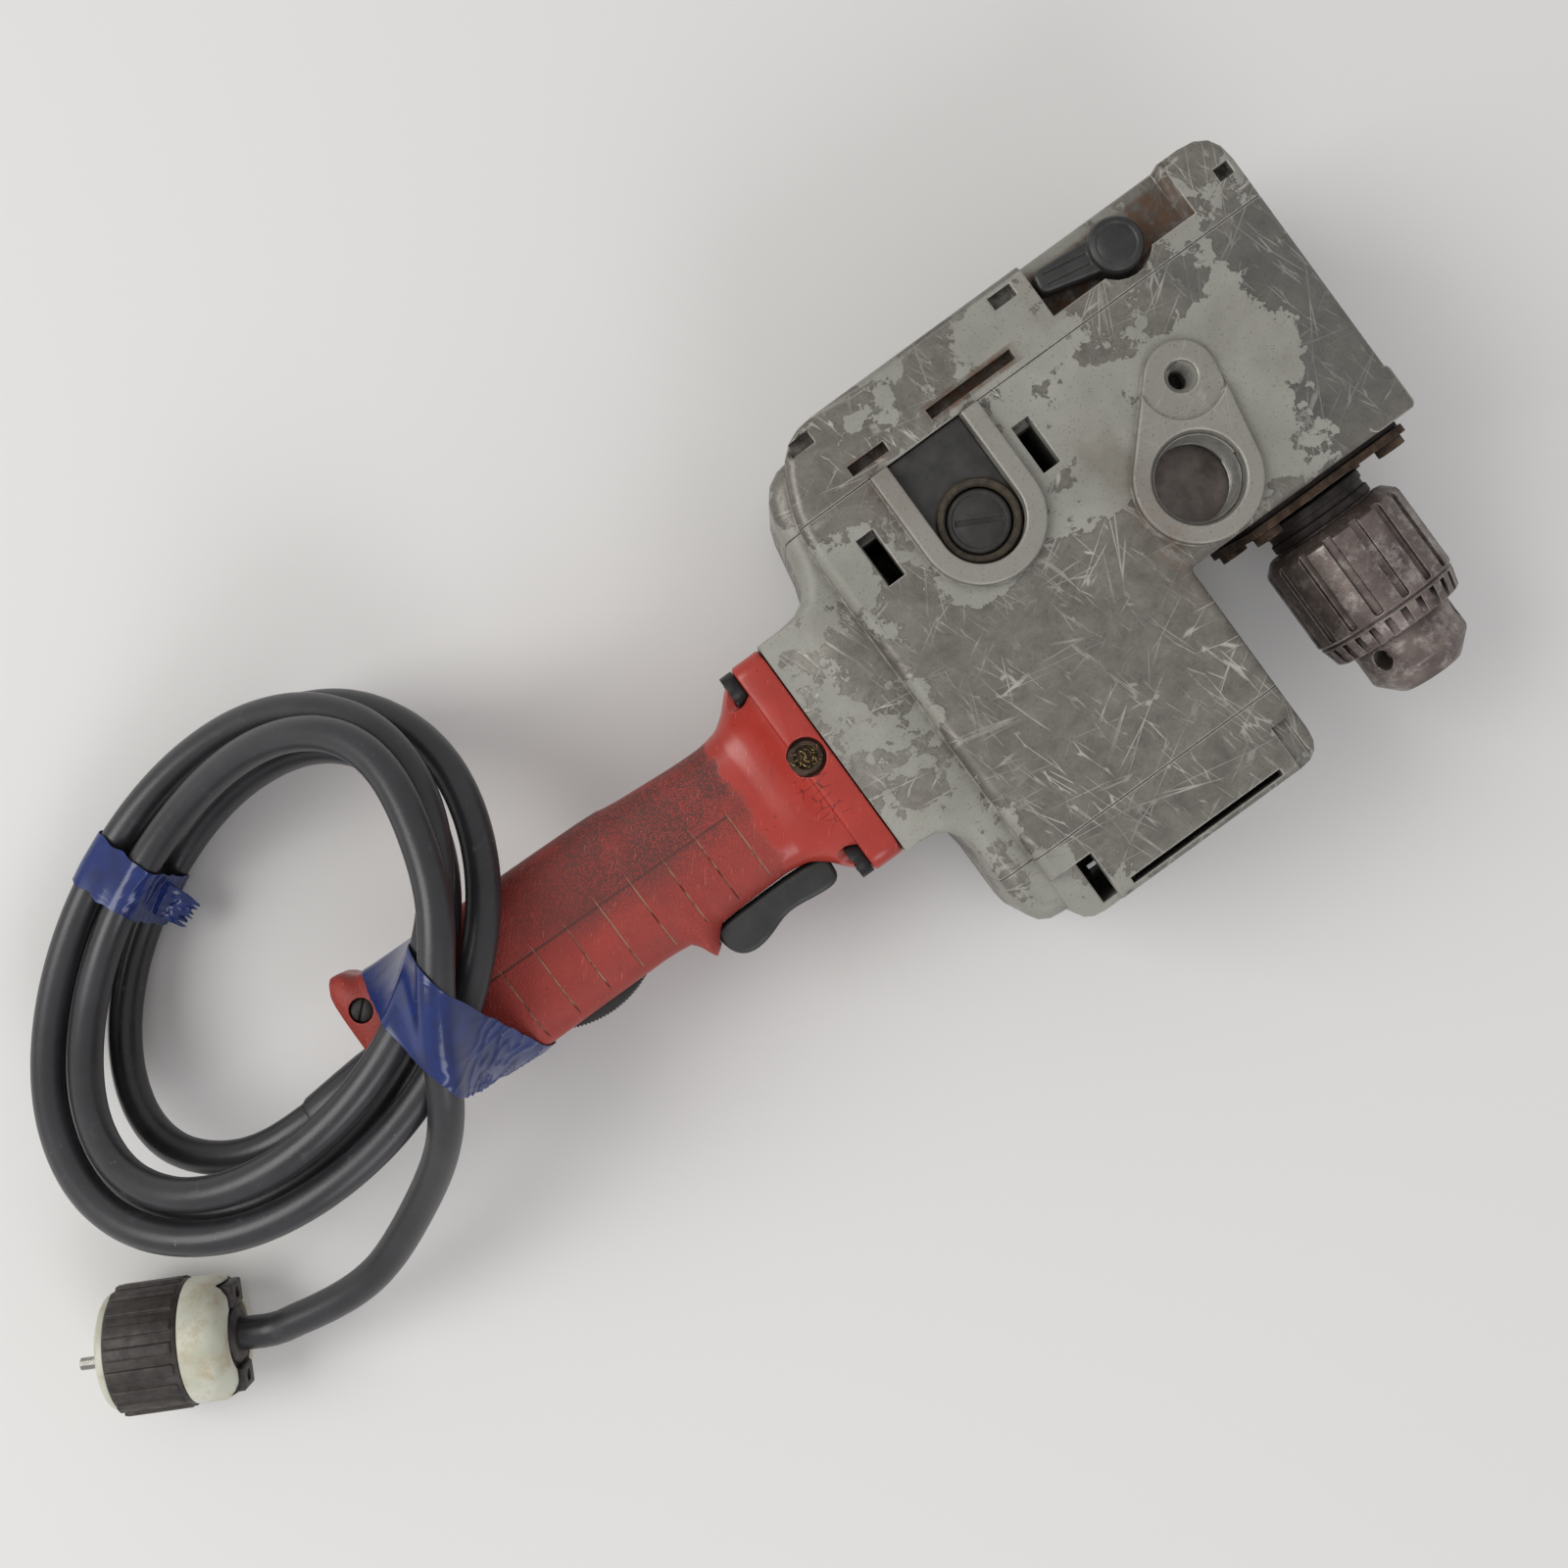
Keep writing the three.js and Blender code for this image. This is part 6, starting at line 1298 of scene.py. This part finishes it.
def makeSwarfTree():
    tree, source = startTree("swarf", swarfSizes)
    dots = add(tree, "GeometryNodeDistributePointsOnFaces", source.outputs["Geometry"], named={
        "Density": source.outputs["density"], "Seed": source.outputs["seed"]})
    spiral = add(tree, "GeometryNodeCurveSpiral", 10, source.outputs["turns"],
                 source.outputs["firstRadius"], source.outputs["lastRadius"],
                 source.outputs["rise"])
    section = add(tree, "GeometryNodeCurvePrimitiveCircle", 4, named={
        "Radius": source.outputs["thick"]})
    chip = add(tree, "GeometryNodeCurveToMesh", spiral, section, named={"Fill Caps": True})
    most = add(tree, "ShaderNodeCombineXYZ", *[source.outputs["spin"]] * 3)
    turn = add(tree, "FunctionNodeRandomValue", data_type="FLOAT_VECTOR", named={
        "Min": (0.0, 0.0, 0.0), "Max": most.outputs[0], "Seed": source.outputs["seed"]})
    chips = add(tree, "GeometryNodeInstanceOnPoints", named={
        "Points": dots.outputs[0], "Instance": chip.outputs[0], "Rotation": turn.outputs[0]})
    return finishTree(tree, source, chips)


def makeSwarf():
    bed = bpy.data.meshes.new("swarfBed")
    rim = circle(0, 0, swarfBed["radius"], swarfBed["sides"])
    bed.from_pydata([(x, y, 0) for x, y in rim], [], [tuple(range(len(rim)))])
    x, y, _ = handleSizes["centre"]
    return grown("swarf", makeSwarfTree(), swarfSizes, "brass",
                 aimed((x, y, swarfBed["height"]), (0, 0, 1)), bed)


hand(makeSwarf(), "root", "brass")
print("stage: caps, knob, trigger and screws")

# Tape: each band is stretched over what it holds, so it follows the hull of the strands
bandSizes = {
    "thick": 0.5, "gap": 0.35, "sides": 220, "steps": 26, "lowest": -55.4,
    "handle": {"centre": (-168, 6, 8), "turn": 12, "half": 13.0, "reach": 62, "wrinkle": 0.9},
    "coil": {"turn": 0.352, "half": 10.6, "reach": 40, "wrinkle": 0.4},
    "tornSide": -1, "tornFrom": 14.6, "tornReach": 12.5, "tornWide": 15, "tornHigh": 2,
    "tornRows": 14, "tornColumns": 10,
}


# Points round the grip at a share of its length
def gripRing(share, count=72):
    h = handleSizes
    centre, half, height = gripSection(share)
    ring = []
    for k in range(count):
        angle = 2 * math.pi * (k + 0.5) / count
        ring.append(Vector((-share * h["length"], centre + half * signedPower(math.cos(angle), h["power"]),
                            height * signedPower(math.sin(angle), h["power"]))))
    return ring


# The points where a plane across the band cuts the cord and the handle, as (along the plane, up)
def cutPoints(centre, axis, offset, reach, withHandle):
    origin = centre + axis * offset
    flat = Vector((-axis.y, axis.x, 0))
    found = []
    fine = curved(cordPoints, 6)
    for a, b in zip(fine, fine[1:]):
        da, db = (a - origin).dot(axis), (b - origin).dot(axis)
        if da * db > 0 or da == db:
            continue
        place, way = a.lerp(b, da / (da - db)), (b - a).normalized()
        if abs((place - origin).dot(flat)) > reach or abs(way.dot(axis)) < 0.3:
            continue
        across = way.orthogonal().normalized()
        other = way.cross(across)
        for k in range(24):
            angle = math.pi * k / 12
            rim = (across * math.cos(angle) + other * math.sin(angle)) * (cordSizes["radius"] + 0.2)
            rim -= way * (rim.dot(axis) / way.dot(axis))
            found.append(((place + rim - origin).dot(flat), (place + rim).z))
    if withHandle:
        rings = [gripRing(0.72 + 0.28 * i / 40) for i in range(41)]
        for first, second in zip(rings, rings[1:]):
            for a, b in zip(first, second):
                da, db = (a - origin).dot(axis), (b - origin).dot(axis)
                if da * db <= 0 and da != db:
                    place = a.lerp(b, da / (da - db))
                    found.append(((place - origin).dot(flat), place.z))
    return found


# The outline that a stretched band takes round the points
def hullOf(points):
    points = sorted(set(points))

    def half(row):
        chain = []
        for p in row:
            while len(chain) > 1 and ((chain[-1][0] - chain[-2][0]) * (p[1] - chain[-2][1])
                                      <= (chain[-1][1] - chain[-2][1]) * (p[0] - chain[-2][0])):
                chain.pop()
            chain.append(p)
        return chain[:-1]
    return half(points) + half(points[::-1])


# How far a ray from the middle runs to the hull
def reachOf(hull, middlePoint, angle):
    dx, dy = math.cos(angle), math.sin(angle)
    for (ax, ay), (bx, by) in zip(hull, hull[1:] + hull[:1]):
        ex, ey = bx - ax, by - ay
        cross = dx * ey - dy * ex
        if abs(cross) < 1e-12:
            continue
        ox, oy = ax - middlePoint[0], ay - middlePoint[1]
        far, share = (ox * ey - oy * ex) / cross, (ox * dy - oy * dx) / cross
        if far > 0 and -1e-9 <= share <= 1 + 1e-9:
            return far
    return 1.0


def makeBand(name, sizes, centre, heading, withHandle, seed):
    b = bandSizes
    steps = b["steps"]
    axis = Vector((math.cos(heading), math.sin(heading), 0))
    flat = Vector((-axis.y, axis.x, 0))
    hulls = []
    for i in range(steps + 1):
        offset = -sizes["half"] + 2 * sizes["half"] * i / steps
        hulls.append((offset, hullOf(cutPoints(centre, axis, offset, sizes["reach"], withHandle))))
    xs = [p[0] for _, hull in hulls for p in hull]
    zs = [p[1] for _, hull in hulls for p in hull]
    middlePoint = ((min(xs) + max(xs)) / 2, (min(zs) + max(zs)) / 2)
    reaches = [[reachOf(hull, middlePoint, 2 * math.pi * k / b["sides"]) for k in range(b["sides"])]
               for _, hull in hulls]
    for _ in range(3):
        reaches = [[(reaches[max(i - 1, 0)][k] + 2 * reaches[i][k] + reaches[min(i + 1, steps)][k]) / 4
                    for k in range(b["sides"])] for i in range(steps + 1)]
    loops = []
    for lift in (b["gap"], b["gap"] + b["thick"]):
        for i, (offset, _) in enumerate(hulls):
            for k in range(b["sides"]):
                angle = 2 * math.pi * k / b["sides"]
                edge = noise.noise(Vector((math.cos(angle) * 3, math.sin(angle) * 3, seed)))
                slip = edge * 1.1 * (offset / sizes["half"])
                crease = noise.noise(Vector((math.cos(angle) * 5 + offset * 0.10,
                                             math.sin(angle) * 5 - offset * 0.05, seed + 7)))
                pulled = min(max(-math.cos(angle) * 1.6, 0.0), 1.0) ** 2
                crease = max(0.0, 1 - abs(crease) * 6) * sizes["wrinkle"] * pulled
                wave = noise.noise(Vector((angle * 1.6, offset * 0.1, seed + 3))) * 0.2 + 0.15
                far = reaches[i][k] + lift + max(wave, 0) + crease
                u = middlePoint[0] + far * math.cos(angle)
                z = middlePoint[1] + far * math.sin(angle)
                loops.append(centre + axis * (offset + slip) + flat * u
                             + Vector((0, 0, max(z, b["lowest"]) - centre.z)))
    count, layer = b["sides"], (steps + 1) * b["sides"]
    faces = []
    for i in range(steps):
        for k in range(count):
            a, c = i * count + k, i * count + (k + 1) % count
            faces.append((a, c, c + count, a + count))
            faces.append((layer + a, layer + a + count, layer + c + count, layer + c))
    for row in (0, steps * count):
        for k in range(count):
            a, c = row + k, row + (k + 1) % count
            faces.append((a, c, layer + c, layer + a))
    return looseObject(name, outward(meshOf(name, loops, faces)))


sizes = bandSizes["handle"]
handleBand = makeBand("handleTape", sizes, Vector(sizes["centre"]), math.radians(sizes["turn"]), True, 2.0)
hand(handleBand, "root", "vinylTape", ("handle_tape",), 60)
sizes = bandSizes["coil"]
strands = [coilPoint(sizes["turn"] + k) for k in range(4)]
ahead = coilPoint(sizes["turn"] + 0.04) - strands[0]
coilMiddle = sum(strands, Vector()) / 4
heading = math.atan2(ahead.y, ahead.x)
coilBand = makeBand("coilTape", sizes, coilMiddle, heading, False, 5.0)
hand(coilBand, "root", "vinylTape", ("coil_tape",), 60)


# The torn end of the tape, a thin ragged tongue that stands off the band's inner side
def makeTornEnd(centre, heading):
    axis = Vector((math.cos(heading), math.sin(heading), 0))
    inward = Vector((-axis.y, axis.x, 0)) * bandSizes["tornSide"]
    rows, columns = bandSizes["tornRows"], bandSizes["tornColumns"]
    points, faces = [], []
    for lift in (0, bandSizes["thick"] * 0.6):
        for i in range(rows + 1):
            ragged = 1 + 0.45 * noise.noise(Vector((i * 0.9, 3.7, 0)))
            for j in range(columns + 1):
                far = bandSizes["tornFrom"] + bandSizes["tornReach"] * ragged * j / columns
                side = (i / rows - 0.5) * bandSizes["tornWide"] * (1 - 0.25 * j / columns)
                wave = 1.6 * noise.noise(Vector((side * 0.25, far * 0.3, 1.3)))
                points.append(centre + axis * side + inward * far
                              + Vector((0, 0, bandSizes["tornHigh"] + wave - 0.25 * j + lift)))
    layer, across = (rows + 1) * (columns + 1), columns + 1
    for i in range(rows):
        for j in range(columns):
            a = i * across + j
            faces.append((a, a + 1, a + across + 1, a + across))
            faces.append((layer + a, layer + a + across, layer + a + across + 1, layer + a + 1))
    rim = [j for j in range(across)] + [i * across + columns for i in range(1, rows + 1)]
    rim += [rows * across + j for j in range(columns - 1, -1, -1)]
    rim += [i * across for i in range(rows - 1, 0, -1)]
    faces += [(a, b, layer + b, layer + a) for a, b in zip(rim, rim[1:] + rim[:1])]
    return looseObject("tornEnd", outward(meshOf("tornEnd", points, faces)))


tornEnd = makeTornEnd(coilMiddle, heading)
hand(tornEnd, "root", "vinylTape", (), 60)
print("stage: tape")

# Plug: a ribbed black shell round a nylon body, with the black cord clamp across its back
plugShapes = {
    "shell": [(0, 0.2), (20.5, 0.2), (21.5, 1.2), (23.4, 1.4), (24.0, 2.4), (24.0, 28.6), (23.4, 29.6),
              (0, 29.6)],
    "ribsAt": 15,
    "ribs": {"count": 18, "radius": 0.0239, "width": 0.0046, "depth": 0.0022, "length": 0.026},
    "body": [(0, 30), (23.8, 30), (24.0, 30.6), (24.0, 39.5), (23.4, 42.0), (21.6, 44.6),
             (19.0, 46.4), (17.5, 46.8), (0, 46.8)],
    "front": [(0, -2.4), (20.8, -2.4), (21.9, -1.5), (22.2, 1.0), (0, 1.0)],
    "recess": ((-21.5, -8.2, 38.5), (21.5, 8.2, 52)), "hollow": [(0, 40), (13, 40), (15, 52), (0, 52)],
    "bar": ((-19.5, -7.4, 36), (19.5, 7.4, 45.4)), "earAt": (-16.2, 16.2), "earHalf": (4.6, 6.6),
    "earHeights": (42, 48.4), "earHole": [(0, 46.6), (2.4, 46.6), (2.4, 52), (0, 52)],
    "grip": [(0, 41), (11.6, 41), (11.0, 46.5), (9.0, 48.0), (7.2, 48.0), (0, 47.4)],
}


# A block in the plug's own axes: across, up and along the cord
def plugBlock(place, low, high, edge):
    block = boxPiece("clamp", low, high)
    block.data.transform(place @ Matrix.Translation(-spot(0, 0, 0)))
    return bevelled(block, edge)


def makePlug():
    s = plugShapes
    turn = math.radians(-plugSizes["turn"])
    axis = Vector((math.cos(turn), math.sin(turn), 0))
    side = Vector((-axis.y, axis.x, 0))
    start = Vector((plugSizes["x"], plugSizes["y"], plugSizes["z"]))
    place = aimed(start, axis, side)
    shell = turnedPiece("plugShell", s["shell"], start, axis, 96)
    ribs = grown("ribs", ringTree, s["ribs"], "blackNylon", aimed(start + axis * s["ribsAt"], axis))
    combine(shell, [bevelled(ribs, 0.7, 3)], "UNION")
    body = turnedPiece("plugBody", s["body"], start, axis, 96)
    hollow = turnedPiece("hollow", s["hollow"], start, axis, 64)
    combine(body, [plugBlock(place, *s["recess"], 0.8), hollow], "DIFFERENCE")
    combine(body, [turnedPiece("plugFront", s["front"], start, axis, 72)], "UNION")
    clamp = plugBlock(place, *s["bar"], 1.0)
    (halfX, halfY), (low, high) = s["earHalf"], s["earHeights"]
    ears = [plugBlock(place, (x - halfX, -halfY, low), (x + halfX, halfY, high), 0.9) for x in s["earAt"]]
    combine(clamp, ears + [turnedPiece("grip", s["grip"], start, axis, 64)], "UNION")
    holes = [turnedPiece("hole", s["earHole"], start + side * x, axis, 24) for x in s["earAt"]]
    combine(clamp, holes, "DIFFERENCE")
    clamp.name = "plugClamp"
    return shell, body, clamp


plugShell, plugBody, plugClamp = makePlug()
hand(plugShell, "root", "dustyNylon", ("plug_shell",))
hand(plugBody, "root", "naturalNylon", ("plug_body",))
hand(plugClamp, "root", "dustyNylon")
print("stage: plug")

# CAD nodes that keep their shape and get a finish
carried = {
    "rustedSteel": ["bearing_plate"],
    "groundSteel": ["armature_shaft", "armature_front_bearing", "armature_rear_bearing",
                    "spindle_bearing", "first_reduction_cluster", "second_reduction_cluster",
                    "spindle", "spindle_low_gear", "spindle_high_gear", "shift_collar",
                    "plug_blade_1", "plug_blade_2", "plug_earth_pin"],
    "brownedSteel": ["chuck_jaw_1", "chuck_jaw_2", "chuck_jaw_3"],
    "laminations": ["field_core", "armature_core"],
    "windingCopper": ["field_coil_left", "field_coil_right", "commutator"],
    "brass": ["shift_fork"],
    "blackPhenolic": ["brush_holder_upper", "brush_holder_lower", "cooling_fan", "switch_body"],
    "blackNylon": ["reversing_lever"],
    "carbon": ["carbon_brush_upper", "carbon_brush_lower"],
    "fibre": ["bearing_plate_gasket"],
}
for finish, names in carried.items():
    for name in names:
        for slot in nodes[name].material_slots:
            slot.material = finishes[finish]
print("stage: carried nodes")

# Floor, light and background, in metres
studio = {
    "floor": "#dcdbd9", "floorHalf": 4, "world": "#f4f3f4", "worldStrength": 0.66,
    "aim": (-0.03, 0, 0), "lamps": {
        "keyLamp": {"place": (-1.3, 0.9, 1.7), "size": 1.3, "power": 24.0, "colour": "#fffefb"},
        "fillLamp": {"place": (-0.4, -1.6, 1.5), "size": 0.9, "power": 9.6, "colour": "#f8faff"}},
}


# Painted board: pale and matt
def makeFloor():
    mesh = bpy.data.meshes.new("floor")
    half = studio["floorHalf"]
    mesh.from_pydata([(-half, -half, 0), (half, -half, 0), (half, half, 0), (-half, half, 0)], [],
                     [(0, 1, 2, 3)])
    floor = looseObject("floor", mesh)
    material = bpy.data.materials.new("paleBoard")
    material.use_nodes = True
    tree = material.node_tree
    tree.nodes.clear()
    board = add(tree, "ShaderNodeBsdfPrincipled", named={
        "Base Color": studio["floor"], "Roughness": 0.6, "Specular IOR Level": 0.2})
    add(tree, "ShaderNodeOutputMaterial", board)
    mesh.materials.append(material)


def makeWorld():
    world = bpy.data.worlds.new("studio")
    bpy.context.scene.world = world
    world.use_nodes = True
    tree = world.node_tree
    tree.nodes.clear()
    sky = add(tree, "ShaderNodeBackground", studio["world"], studio["worldStrength"])
    add(tree, "ShaderNodeOutputWorld", sky)


def makeLamp(name, lamp):
    data = bpy.data.lights.new(name, "AREA")
    data.shape = "SQUARE"
    data.size = lamp["size"]
    data.energy = lamp["power"]
    data.color = linear(lamp["colour"])[:3]
    light = bpy.data.objects.new(name, data)
    light.location = lamp["place"]
    aim = Vector(studio["aim"]) - Vector(lamp["place"])
    light.rotation_euler = aim.to_track_quat("-Z", "Y").to_euler()
    bpy.context.scene.collection.objects.link(light)


makeFloor()
makeWorld()
for name, lamp in studio["lamps"].items():
    makeLamp(name, lamp)
bpy.context.scene.view_settings.view_transform = "Standard"

print("stage: studio")
